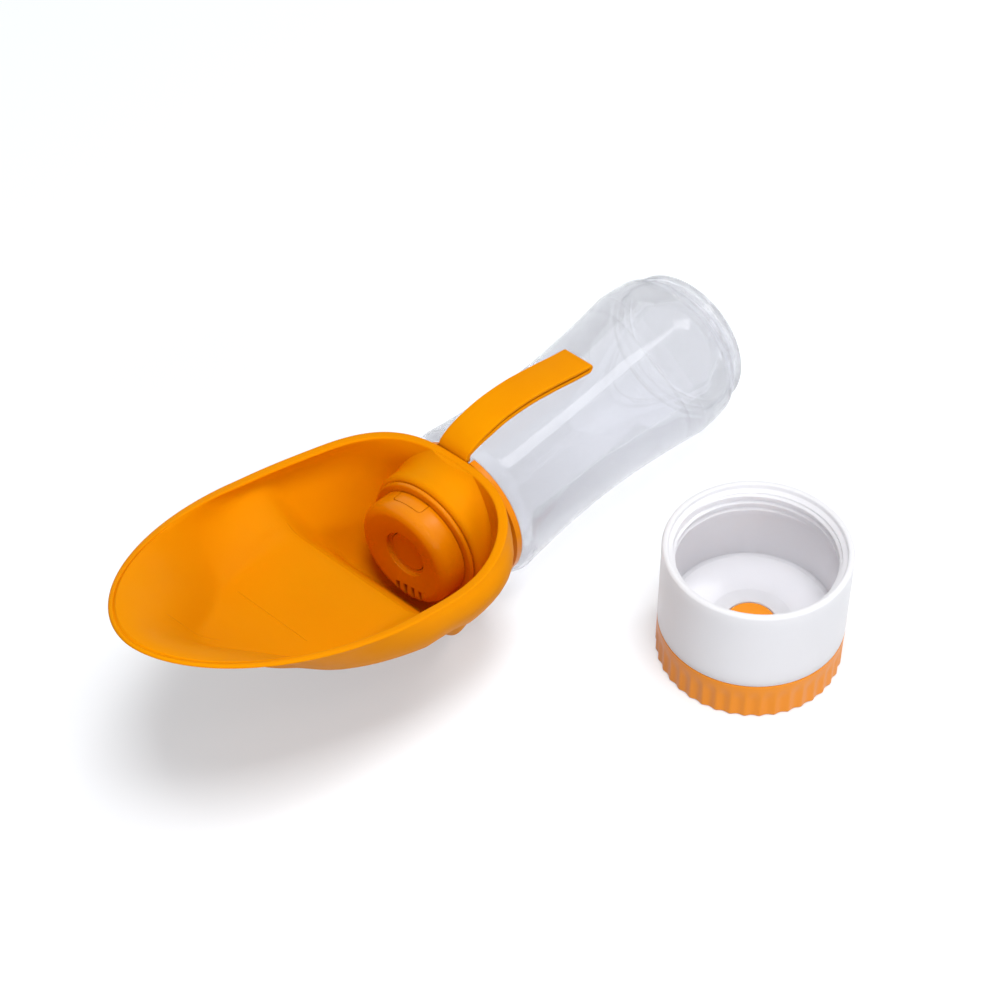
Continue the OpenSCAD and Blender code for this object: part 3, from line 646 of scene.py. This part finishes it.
def curve_at(line, s):
    """Smooth curve through a list of (station, height)."""
    s = min(max(s, line[0][0]), line[-1][0])
    last = len(line) - 1
    i = min(max(k for k in range(len(line)) if line[k][0] <= s), last - 1)

    def slope(k):
        a, b = max(k - 1, 0), min(k + 1, last)
        return (line[b][1] - line[a][1]) / (line[b][0] - line[a][0])

    h = line[i + 1][0] - line[i][0]
    t = (s - line[i][0]) / h
    return ((2 * t ** 3 - 3 * t ** 2 + 1) * line[i][1] + (t ** 3 - 2 * t ** 2 + t) * h * slope(i)
            + (3 * t ** 2 - 2 * t ** 3) * line[i + 1][1] + (t ** 3 - t ** 2) * h * slope(i + 1))


def soft_max(a, b, crease):
    """The larger value, rounded where the two are closer than about a crease."""
    return 0.5 * (a + b + math.hypot(a - b, crease))


def rim_plan(c, s, inset):
    """The rim seen from above, as (forwards, sideways) from the bowl's middle."""
    reach = (BOWL_BACK if c < 0 else BOWL_FRONT) - inset
    m = BACK_POWER if c < 0 else FRONT_POWER
    return reach * signed_power(c, m), (BOWL_W / 2 - inset) * signed_power(s, m)


def rim_top(c, plan):
    return rim_z(BOWL_U + plan[0]) + LIP_TWIST * max(0, c) * plan[1] / BOWL_W * 2


def wall_share(rho, start, power):
    """How far the wall has risen, 0 to 1, at a share of the way out to the rim."""
    return max(0, min(1, (rho - start) / (1 - start))) ** power


def under_share(rho, c):
    """The outside's wall_share, which starts later and rises straighter towards the tip."""
    start = UNDER_START + (0.45 * c ** 6 if c > 0 else -0.3 * c)
    power = UNDER_POWER + (-1.65 * c ** 0.7 if c > 0 else -0.85 * c)
    return wall_share(rho, start, power)


def floor_share(rho, c):
    """The inside's wall_share."""
    return wall_share(rho, FLOOR_START + 0.18 * abs(c), FLOOR_POWER + 1.4 * max(0, -c))


def swell(c, s, w):
    """How far the flank swells past a straight line to the rim."""
    size = FRONT_SWELL - (BACK_SWELL - FRONT_SWELL) * c if c < 0 else FRONT_SWELL * (1 - c) ** 2
    return s * s * size * math.sin(math.pi * min(1, (1 - w) / 0.7))


def outer_point(angle, rho):
    """Point of the outside, at an angle round the bowl and a share of the way out to the rim."""
    c, s = math.cos(angle), math.sin(angle)
    plan = rim_plan(c, s, 0)
    w = under_share(rho, c)
    out = rho + swell(c, s, w)
    y = plan[1] * out
    top = rim_top(c, plan)
    sump = -(HEEL_R + SUMP_CREASE / 2) * (1 - y * y / SUMP_HALF_W ** 2)
    floor = curve_at(BOWL_UNDER, BOWL_U - FLANGE_U + plan[0] * out)
    low = min(soft_max(floor, sump, SUMP_CREASE), top - LIP_W)
    return -BOWL_U - plan[0] * out, y + LIP_SWAY * max(0, c) ** 3 * rho, low + (top - low) * w


def inner_point(angle, rho):
    """Point of the inside, by the same angle and share."""
    c, s = math.cos(angle), math.sin(angle)
    plan = rim_plan(c, s, RIM_W + (LIP_W - RIM_W) * max(0, c))
    under = under_share(rho, c)
    out = rho + swell(c, s, under)
    top = rim_top(c, rim_plan(c, s, 0))
    low = min(curve_at(BOWL_FLOOR, BOWL_U - FLANGE_U + plan[0] * out), top - 0.1)
    z = low + (top - low) * floor_share(rho, c)
    wall = outer_point(angle, rho)[2] + FLOOR_WALL * (1 - under)
    return (-BOWL_U - plan[0] * out, plan[1] * out + LIP_SWAY * max(0, c) ** 3 * rho,
            min(top, soft_max(z, wall, FLOOR_CREASE * (1 - under))))


def rim_rounding(angle):
    """Points over the rim from its outer edge to its inner edge."""
    a = Vector(outer_point(angle, 1))
    b = Vector(inner_point(angle, 1))
    across = b - a
    width = across.length
    steps = 4
    points = []
    for k in range(steps + 1):
        q = math.radians(90 * k / steps)
        share = RIM_ROUND * (1 - math.cos(q)) / width
        points.append(tuple(a + across * share - Vector((0, 0, RIM_ROUND * (1 - math.sin(q))))))
    for k in range(steps, -1, -1):
        q = math.radians(90 * k / steps)
        share = 1 - RIM_ROUND * (1 - math.cos(q)) / width
        points.append(tuple(a + across * share - Vector((0, 0, RIM_ROUND * (1 - math.sin(q))))))
    return points


def scoop_points(angles, shares):
    """Rows of points: up the inside from its middle, over the rim, and down the outside."""
    columns = []
    for k in range(angles):
        angle = 2 * math.pi * k / angles
        inside = [inner_point(angle, rho) for rho in shares]
        outside = [outer_point(angle, rho) for rho in reversed(shares)]
        columns.append(inside + list(reversed(rim_rounding(angle))) + outside)
    rows = len(columns[0])
    return [columns[k][i] for i in range(rows) for k in range(angles)], rows


def make_scoop():
    shares = [0.001 + 0.988 * (k / SCOOP_STEPS) ** 0.8 for k in range(SCOOP_STEPS + 1)]
    points, rows = scoop_points(SCOOP_ANGLES, shares)
    scoop = add_mesh("bowl_skin", points, grid_faces(rows, SCOOP_ANGLES, close_rows=False), silicone,
                     50)
    # The neck passes through the back wall inside the sleeve
    back_u = FLANGE_U - 5
    bore = SLEEVE_R - SLEEVE_WALL + 1
    cut = lathe("neck_cut", [(AXIS_R, back_u), (bore, back_u), (bore, WEB_END_U),
                             (AXIS_R, WEB_END_U)], silicone, CUTTER_SIDES)
    boolean(scoop, cut, "DIFFERENCE")
    return scoop


def make_sleeve():
    """The sleeve round the neck, flared into the bowl's back wall and webbed in front."""
    bore = SKIRT_R + RUN_GAP
    inner = SLEEVE_R - SLEEVE_WALL
    neck_clear_r = NECK_R + RUN_GAP
    web_u = WEB_END_U - WEB_T
    flare = []
    steps = 16
    for k in range(steps + 1):
        a = math.radians(FLARE_TURN * (1 - k / steps))
        flare.append((SLEEVE_R + FLARE_R * (1 - math.cos(a)),
                      FLANGE_U + FLARE_R + FLARE_RISE - FLARE_R * math.sin(a)))
    section = ([(neck_clear_r, FLANGE_U), (SLEEVE_R + FLARE_R, FLANGE_U)] + flare
               + fillet((SLEEVE_R, FLANGE_U), (SLEEVE_R, WEB_END_U), (bore, WEB_END_U), SLEEVE_ROUND, 4)
               + fillet((SLEEVE_R, WEB_END_U), (bore, WEB_END_U), (bore, web_u), 0.4, 4)
               + [(bore, web_u), (inner, web_u), (inner, FLANGE_U + FLANGE_T),
                  (neck_clear_r, FLANGE_U + FLANGE_T)])
    sleeve = lathe("bowl_sleeve", section, silicone, SLEEVE_SIDES, sharp_deg=50)
    # Trimmed by the bowl's own outside, a little under its rim
    under = 0.6
    turns = [2 * math.pi * k / TRIM_ANGLES for k in range(TRIM_ANGLES)]
    shell = [outer_point(turn, rho) for rho in TRIM_SHARES for turn in turns]
    shell = [(x, y, z - (under if z > 20 else 0)) for x, y, z in shell]
    lid = [(-BOWL_U + AXIS_R * math.cos(turn), AXIS_R * math.sin(turn), rim_z(BOWL_U) - under)
           for turn in turns]
    faces = grid_faces(len(TRIM_SHARES) + 1, TRIM_ANGLES, close_rows=False)
    trim = add_mesh("trim", shell + lid, faces, silicone)
    fill = bmesh.new()
    fill.from_mesh(trim.data)
    bmesh.ops.holes_fill(fill, edges=fill.edges)
    fill.to_mesh(trim.data)
    fill.free()
    boolean(sleeve, trim, "INTERSECT")
    return sleeve


def make_bowl():
    scoop = make_scoop()
    sleeve = make_sleeve()
    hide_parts("bowl")
    for piece in (scoop, sleeve):
        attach(piece, "bottle_body")


# ---------------------------------------------------------------- cap
def box(name, size, centre, turns):
    """A cutter: a box in cap space (x up, y across, z along u), turned step by step about an axis."""
    points = [Vector((sx * size[0] / 2, sy * size[1] / 2, sz * size[2] / 2)) + Vector(centre)
              for sx in (-1, 1) for sy in (-1, 1) for sz in (-1, 1)]
    for axis, degrees in turns:
        spin = Matrix.Rotation(math.radians(degrees), 3, axis)
        points = [spin @ p for p in points]
    faces = [(0, 1, 3, 2), (4, 6, 7, 5), (0, 4, 5, 1), (2, 3, 7, 6), (0, 2, 6, 4), (1, 5, 7, 3)]
    return add_mesh(name, [(-p.z, p.y, p.x) for p in points], faces, orange_plastic)


def lock_outline(grow):
    """The lock button's outline as (along u, across), rounded in front and made larger by grow."""
    half_l, half_w, r = LOCK_LEN / 2 + grow, LOCK_W / 2 + grow, LOCK_CORNER + grow
    return ([(-half_l, half_w), (-half_l, -half_w)]
            + fillet((-half_l, -half_w), (half_l, -half_w), (half_l, half_w), r, 8)
            + fillet((half_l, -half_w), (half_l, half_w), (-half_l, half_w), r, 8))


def lock_prism(name, outline, from_r, to_r):
    """A block over an outline round the lock button's middle, between two heights over the axis."""
    spin = Matrix.Rotation(math.radians(LOCK_TURN), 3, "Z")
    points = []
    for level in (from_r, to_r):
        for along, across in outline:
            p = spin @ Vector((level, across, LOCK_U + LOCK_LEN / 2 + along))
            points.append((-p.z, p.y, p.x))
    n = len(outline)
    faces = grid_faces(2, n, close_rows=False)
    faces += [tuple(range(n)), tuple(range(2 * n - 1, n - 1, -1))]
    return add_mesh(name, points, faces, orange_plastic)


def cap_face():
    """Outside of the cap as (radius, u), from its back edge to the button's well."""
    back = [(SKIRT_R, CAP_U)] + fillet((SKIRT_R, CAP_U), (CAP_R, CAP_U), (CAP_R, FACE_U), 0.3, 3)
    edge = []
    steps = 16
    for k in range(steps + 1):
        a = math.radians(90 * k / steps)
        edge.append((CAP_R - CAP_ROUND + CAP_ROUND * math.cos(a),
                     FACE_U - CAP_ROUND + CAP_ROUND * math.sin(a)))
    lip = (BUTTON_WELL_R, FACE_U - DISH)
    return back + edge + fillet(edge[-1], lip, (BUTTON_WELL_R, BUTTON_U), 0.35, 4)


def cap_cutters():
    """The thumb's flat, the drip slots and the lock button's pocket."""
    tilt = math.radians(THUMB_TILT)
    across, thick = 60, 20
    flat_at = ((CAP_R - CAP_ROUND) * math.cos(tilt) + (FACE_U - CAP_ROUND) * math.sin(tilt)
               + CAP_ROUND - THUMB_DEPTH)
    cuts = [box("thumb_cut", (across, across, thick), (0, 0, flat_at + thick / 2),
                [("Y", 90 - THUMB_TILT), ("Z", LOCK_TURN)])]
    reach = CAP_R - CHAMBER_R + SLOT_CUT_OUT + SLOT_CUT_IN
    for k in range(SLOT_COUNT):
        cuts.append(box("slot_cut%d" % k, (reach, SLOT_W, CAP_LEN),
                        (-CAP_R - SLOT_CUT_OUT + reach / 2, (k - (SLOT_COUNT - 1) / 2) * 2 * SLOT_W,
                         CHAMBER_END_U - SLOT_CUT_BACK + CAP_LEN / 2), [("Z", SLOT_TURN)]))
    cuts.append(lock_prism("lock_cut", lock_outline(RUN_GAP), LOCK_FLOOR_R, CAP_R + LOCK_CUT_OUT))
    return cuts


def make_cap():
    rim_u = FACE_U - DISH
    guide_u = CHAMBER_END_U - GUIDE_DROP
    guide_outer = GUIDE_R + GUIDE_WALL
    bore_len = CHAMBER_U - SKIRT_U
    rows = round(bore_len / 0.3)
    section = (cap_face()
               + fillet((BUTTON_WELL_R, rim_u), (BUTTON_WELL_R, BUTTON_U), (GUIDE_R, BUTTON_U), 0.3, 3)
               + fillet((BUTTON_WELL_R, BUTTON_U), (GUIDE_R, BUTTON_U), (GUIDE_R, guide_u), 0.2, 3)
               + [(GUIDE_R, guide_u), (guide_outer, guide_u), (guide_outer, CHAMBER_END_U),
                  (CHAMBER_R, CHAMBER_END_U), (CHAMBER_R, CHAMBER_U)]
               + [(CAP_BORE_R, CHAMBER_U - bore_len * k / rows) for k in range(rows + 1)]
               + [(SKIRT_R, SKIRT_U)])

    def lift(r, u, turn):
        return -ridge(u, turn, *CAP_THREAD, PITCH) if r == CAP_BORE_R else 0

    shell = lathe("cap_skin", section, orange_plastic, CAP_SIDES, lift)
    for cut in cap_cutters():
        boolean(shell, cut, "DIFFERENCE")
    mark_creases(shell.data, 15)
    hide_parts("cap_shell")
    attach(shell, "cap")


def make_lock():
    tab = lock_prism("lock_tab", lock_outline(0), CAP_R - LOCK_T, CAP_R + LOCK_CUT_OUT)
    barrel = lathe("lock_barrel", [(0, CAP_U)] + cap_face() + [(0, BUTTON_U)], orange_plastic,
                   CAP_SIDES)
    boolean(tab, barrel, "INTERSECT")
    # Blind hole for the spring
    turns = [2 * math.pi * k / HOLE_SIDES for k in range(HOLE_SIDES)]
    circle = [(LOCK_HOLE_R * math.sin(a), LOCK_HOLE_R * math.cos(a)) for a in turns]
    hole = lock_prism("spring_hole", circle, CAP_R - 6, LOCK_HOLE_TOP_R)
    boolean(tab, hole, "DIFFERENCE")
    soften = tab.modifiers.new("soften", "BEVEL")
    soften.width = LOCK_EDGE * MM
    soften.segments = 3
    soften.limit_method = "ANGLE"
    soften.angle_limit = math.radians(50)
    soften.harden_normals = False
    bpy.context.view_layer.objects.active = tab
    bpy.ops.object.modifier_apply(modifier=soften.name)
    mark_creases(tab.data, 60)
    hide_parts("lock_button")
    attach(tab, "lock")


# ---------------------------------------------------------------- food cup
def flute_wave(turn):
    """Depth share of the scallops round the base cap: 0 on a ridge, 1 in a hollow."""
    return (0.5 - 0.5 * math.cos(2 * math.pi * FLUTES * turn)) ** FLUTE_POWER


def cup_section():
    """The cup's wall as (radius, height): foot, outside, rim, thread, inside, well and plinth."""
    mouth_z = CUP_H - MOUTH_DEPTH
    thread_z = CUP_H - 3
    bore_z = CUP_H - THREAD_ZONE
    floor_z = WELL_Z - CUP_FLOOR_T
    foot = fillet((CUP_R, CUP_H), (CUP_R, CUP_FOOT_Z), (PLINTH_R, CUP_FOOT_Z), 0.35, 3)
    outside = ([(PLINTH_R, CUP_FOOT_Z)] + list(reversed(foot))
               + [(CUP_R, BASE_H + 4 + 3.2 * k) for k in range(11)])
    rim = (fillet((CUP_R, CUP_FOOT_Z), (CUP_R, CUP_H), (MOUTH_R, CUP_H), 1.3)
           + fillet((CUP_R, CUP_H), (MOUTH_R, CUP_H), (MOUTH_R, mouth_z), 0.8, 5)
           + fillet((MOUTH_R, CUP_H), (MOUTH_R, mouth_z), (CUP_THREAD_R, thread_z), 0.5, 3))
    inside = ([(CUP_THREAD_R, thread_z - 0.3 * k) for k in range(39)]
              + [(CUP_BORE_R, bore_z - 1.5)]
              + [(CUP_BORE_R, bore_z - 3 - 2.4 * k) for k in range(9)])
    ledge = (fillet((CUP_BORE_R, CUP_H), (CUP_BORE_R, LEDGE_Z), (LEDGE_R, LEDGE_Z), 0.5, 4)
             + fillet((CUP_BORE_R, LEDGE_Z), (LEDGE_R, LEDGE_Z), (LEDGE_R - 1, LEDGE_Z - 1.1), 0.5, 4))
    well = (fillet((LEDGE_R, LEDGE_Z - 0.8), (WELL_R, WELL_Z), (HOLE_R, WELL_Z), 3)
            + fillet((WELL_R, WELL_Z), (HOLE_R, WELL_Z), (HOLE_R, floor_z), 0.5, 4)
            + [(HOLE_R, floor_z), (WELL_R, floor_z), (WELL_R, PLINTH_Z)])
    rows = 44
    plinth = [(PLINTH_R, PLINTH_Z + (CUP_FOOT_Z - PLINTH_Z) * k / rows) for k in range(rows)]
    return outside + rim + inside + ledge + well + plinth


def make_cup():
    def lift(r, z, turn):
        if r == PLINTH_R:
            return ridge(z, turn, *PLINTH_THREAD, PITCH)
        return -ridge(z, turn, *MOUTH_THREAD, MOUTH_PITCH) if r == CUP_THREAD_R else 0

    shell = lathe("cup_shell", cup_section(), white_plastic, CUP_SIDES, lift, True, 50)
    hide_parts("food_cup")
    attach(shell, "cup")


def make_base_cap():
    outside = (fillet((0, 0), (CUP_R, 0), (CUP_R, BASE_H), 0.9, 5)
               + [(CUP_R, 1.5 + 0.9 * k) for k in range(18)]
               + fillet((CUP_R, 0), (CUP_R, BASE_H), (BASE_BORE_R, BASE_H), 0.5, 4))
    rows = 50
    inside = (fillet((CUP_R, BASE_H), (BASE_BORE_R, BASE_H), (BASE_BORE_R, 0), 0.3, 3)
              + [(BASE_BORE_R, BASE_H - 0.6 - (BASE_H - 3) * k / rows) for k in range(rows + 1)]
              + [(PLUG_R, BASE_FLOOR_T)])
    plug = fillet((PLUG_R, 0), (PLUG_R, PLUG_TOP_Z), (0, PLUG_TOP_Z), 0.6, 4) + [(0, PLUG_TOP_Z)]

    def lift(r, z, turn):
        if r == BASE_BORE_R:
            return -ridge(z, turn, *BASE_THREAD, PITCH)
        if r < CUP_R - 1:
            return 0
        return -FLUTE_DEPTH * (1 - smooth_step(*FLUTE_FADE, z)) * flute_wave(turn)

    shell = lathe("base_shell", [(0, 0)] + outside + inside + plug, lit_fluted_plastic,
                  FLUTES * SIDES_PER_FLUTE, lift, True, 50)
    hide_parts("base_cap")
    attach(shell, "cup_base")


# ---------------------------------------------------------------- strap
def strap_station(i, depth):
    """A station of the strap's run, at a depth under its outer face."""
    a = STRAP_ROUTE[max(i - 1, 0)]
    b = STRAP_ROUTE[min(i + 1, len(STRAP_ROUTE) - 1)]
    along = Vector((b[0] - a[0], b[2] - a[2])).normalized()
    back, side, up, _ = STRAP_ROUTE[i]
    return Vector((-(RING_END_U - back - along[1] * depth), side, up - along[0] * depth))


def smooth_path(points, steps):
    """Catmull-Rom curve through the points."""
    path = []
    last = len(points) - 1
    for i in range(last):
        p0, p1 = points[max(i - 1, 0)], points[i]
        p2, p3 = points[i + 1], points[min(i + 2, last)]
        for k in range(steps):
            t = k / steps
            path.append(0.5 * ((2 * p1) + (p2 - p0) * t + (2 * p0 - 5 * p1 + 4 * p2 - p3) * t * t
                               + (3 * p1 - p0 - 3 * p2 + p3) * t ** 3))
    path.append(points[last])
    return path


def strap_section():
    """Rounded rectangle across the strap, as (sideways, outwards) from its middle."""
    half_w, half_t = STRAP_W / 2, STRAP_T / 2
    corners = [(half_w, half_t), (-half_w, half_t), (-half_w, -half_t), (half_w, -half_t)]
    section = []
    for i, corner in enumerate(corners):
        section += fillet(corners[i - 1], corner, corners[(i + 1) % 4], STRAP_ROUND, 4)
    return section


def make_strap():
    half = STRAP_T / 2
    stations = range(len(STRAP_ROUTE))
    depths = [max(half, STRAP_ROUTE[i][3] - half) for i in stations]
    outer = smooth_path([strap_station(i, half) for i in stations], STRAP_STEPS)
    inner = smooth_path([strap_station(i, depths[i]) for i in stations], STRAP_STEPS)
    tail = (outer[-1] + inner[-1]) / 2
    radius = (outer[-1] - inner[-1]).length / 2
    up = (outer[-1] - inner[-1]).normalized()
    ahead = (outer[-1] - outer[-2]).normalized()
    turns = [math.pi * k / FOLD_STEPS for k in range(1, FOLD_STEPS)]
    fold = [tail + up * radius * math.cos(a) + ahead * radius * math.sin(a) for a in turns]
    path = outer + fold + list(reversed(inner))
    section = strap_section()
    points = []
    for i, place in enumerate(path):
        a, b = path[max(i - 1, 0)], path[min(i + 1, len(path) - 1)]
        run = (b - a).normalized()
        side = Vector((0, 1, 0))
        out = run.cross(side).normalized() * -1
        for across, height in section:
            points.append(tuple(place + side * across + out * height))
    sides = len(section)
    faces = grid_faces(len(path), sides, close_rows=False)
    faces.append(tuple(range(sides)))
    faces.append(tuple(range(len(points) - 1, len(points) - 1 - sides, -1)))
    band = add_mesh("strap_band", points, faces, strap_silicone, 60)
    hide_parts("carry_strap")
    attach(band, "strap")


# ---------------------------------------------------------------- floor, light, camera
FLOOR_Z = -HEEL_R * MM
FLOOR_HALF = 4
FLOOR_TONE = 0.63
FLOOR_TINT = (0.985, 1.0, 1.025)
FLOOR_BOUNCE = 0.3
FLOOR_GLOW = 0.37
FLOOR_GLOW_TINT = (0.91, 0.955, 1, 1)
WORLD_LEVEL = 0.3
LAMP_TARGET = Vector((-0.15, 0, 0))
CAMERA_AT = (-0.7065, -0.5279, 0.7716)
CAMERA_AIM = (-0.1075, 0.0178, -0.0381)
CAMERA_LENS = 90.77


def make_floor():
    """A white sheet that glows a little to the camera, so that its shadows stay pale."""
    mesh = bpy.data.meshes.new("floor")
    corners = [(-1, -1), (1, -1), (1, 1), (-1, 1)]
    mesh.from_pydata([(x * FLOOR_HALF, y * FLOOR_HALF, FLOOR_Z) for x, y in corners], [],
                     [(0, 1, 2, 3)])
    floor = bpy.data.objects.new("floor", mesh)
    bpy.context.scene.collection.objects.link(floor)
    mat = material("floor", (FLOOR_TONE, FLOOR_TONE, FLOOR_TONE), 0.9, Specular_IOR_Level=0.0,
                   Emission_Color=FLOOR_GLOW_TINT)
    shader = mat.node_tree.nodes["Principled BSDF"]
    path = node(mat, "ShaderNodeLightPath")
    glow = node(mat, "ShaderNodeMapRange")
    glow.inputs["To Min"].default_value = FLOOR_GLOW
    glow.inputs["To Max"].default_value = 0.0
    link(mat, path.outputs["Is Diffuse Ray"], glow.inputs["Value"])
    link(mat, glow.outputs["Result"], shader.inputs["Emission Strength"])
    tone = node(mat, "ShaderNodeMix", data_type="RGBA")
    link(mat, path.outputs["Is Diffuse Ray"], tone.inputs[0])
    for socket in tone.inputs:
        if socket.type == "RGBA":
            level = FLOOR_TONE if socket.name == "A" else FLOOR_BOUNCE
            socket.default_value = [level * tint for tint in FLOOR_TINT] + [1]
    color = [socket for socket in tone.outputs if socket.type == "RGBA"][0]
    link(mat, color, shader.inputs["Base Color"])
    mesh.materials.append(mat)


def make_world():
    """White where it is seen, mirrored or looked at through the bottle, and dimmer as a lamp."""
    world = bpy.data.worlds.new("studio")
    bpy.context.scene.world = world
    world.use_nodes = True
    tree = world.node_tree
    background = tree.nodes["Background"]
    background.inputs["Color"].default_value = (1, 1, 1, 1)
    path = tree.nodes.new("ShaderNodeLightPath")
    level = tree.nodes.new("ShaderNodeMapRange")
    level.inputs["To Min"].default_value = 1.0
    level.inputs["To Max"].default_value = WORLD_LEVEL
    tree.links.new(path.outputs["Is Diffuse Ray"], level.inputs["Value"])
    tree.links.new(level.outputs["Result"], background.inputs["Strength"])


def softbox(name, direction, distance, width, height, radiance, mirrored=True):
    """An area lamp of a given radiance, turned towards the bottle's middle."""
    lamp = bpy.data.lights.new(name, "AREA")
    lamp.shape = "RECTANGLE"
    lamp.size = width
    lamp.size_y = height
    lamp.energy = radiance * math.pi * width * height
    holder = bpy.data.objects.new(name, lamp)
    holder.location = LAMP_TARGET + Vector(direction).normalized() * distance
    holder.rotation_euler = (LAMP_TARGET - holder.location).to_track_quat("-Z", "Y").to_euler()
    holder.visible_glossy = mirrored
    holder.visible_transmission = mirrored
    bpy.context.scene.collection.objects.link(holder)


def make_camera():
    lens = bpy.data.cameras.new("camera")
    lens.sensor_width = 36
    lens.lens = CAMERA_LENS
    camera = bpy.data.objects.new("camera", lens)
    camera.location = CAMERA_AT
    camera.rotation_euler = (Vector(CAMERA_AIM) - camera.location).to_track_quat("-Z", "Y").to_euler()
    bpy.context.scene.collection.objects.link(camera)
    bpy.context.scene.camera = camera


make_camera()
make_bottle()
make_bowl()
make_strap()
make_cap()
make_lock()
make_cup()
make_base_cap()
make_floor()
make_world()
softbox("overhead", (-0.09, -0.16, 1.0), 3.0, 1.16, 1.09, 15.8, mirrored=False)
softbox("front", (-0.45, -1.0, 0.3), 1.7, 1.7, 0.6, 4.6, mirrored=False)
softbox("strip", (0.6, -0.22, 0.77), 1.25, 0.24, 0.45, 7.2)
softbox("glint", (-0.25, -0.5, 0.84), 1.5, 0.35, 0.2, 3.0)
bpy.context.scene.view_settings.view_transform = "Standard"
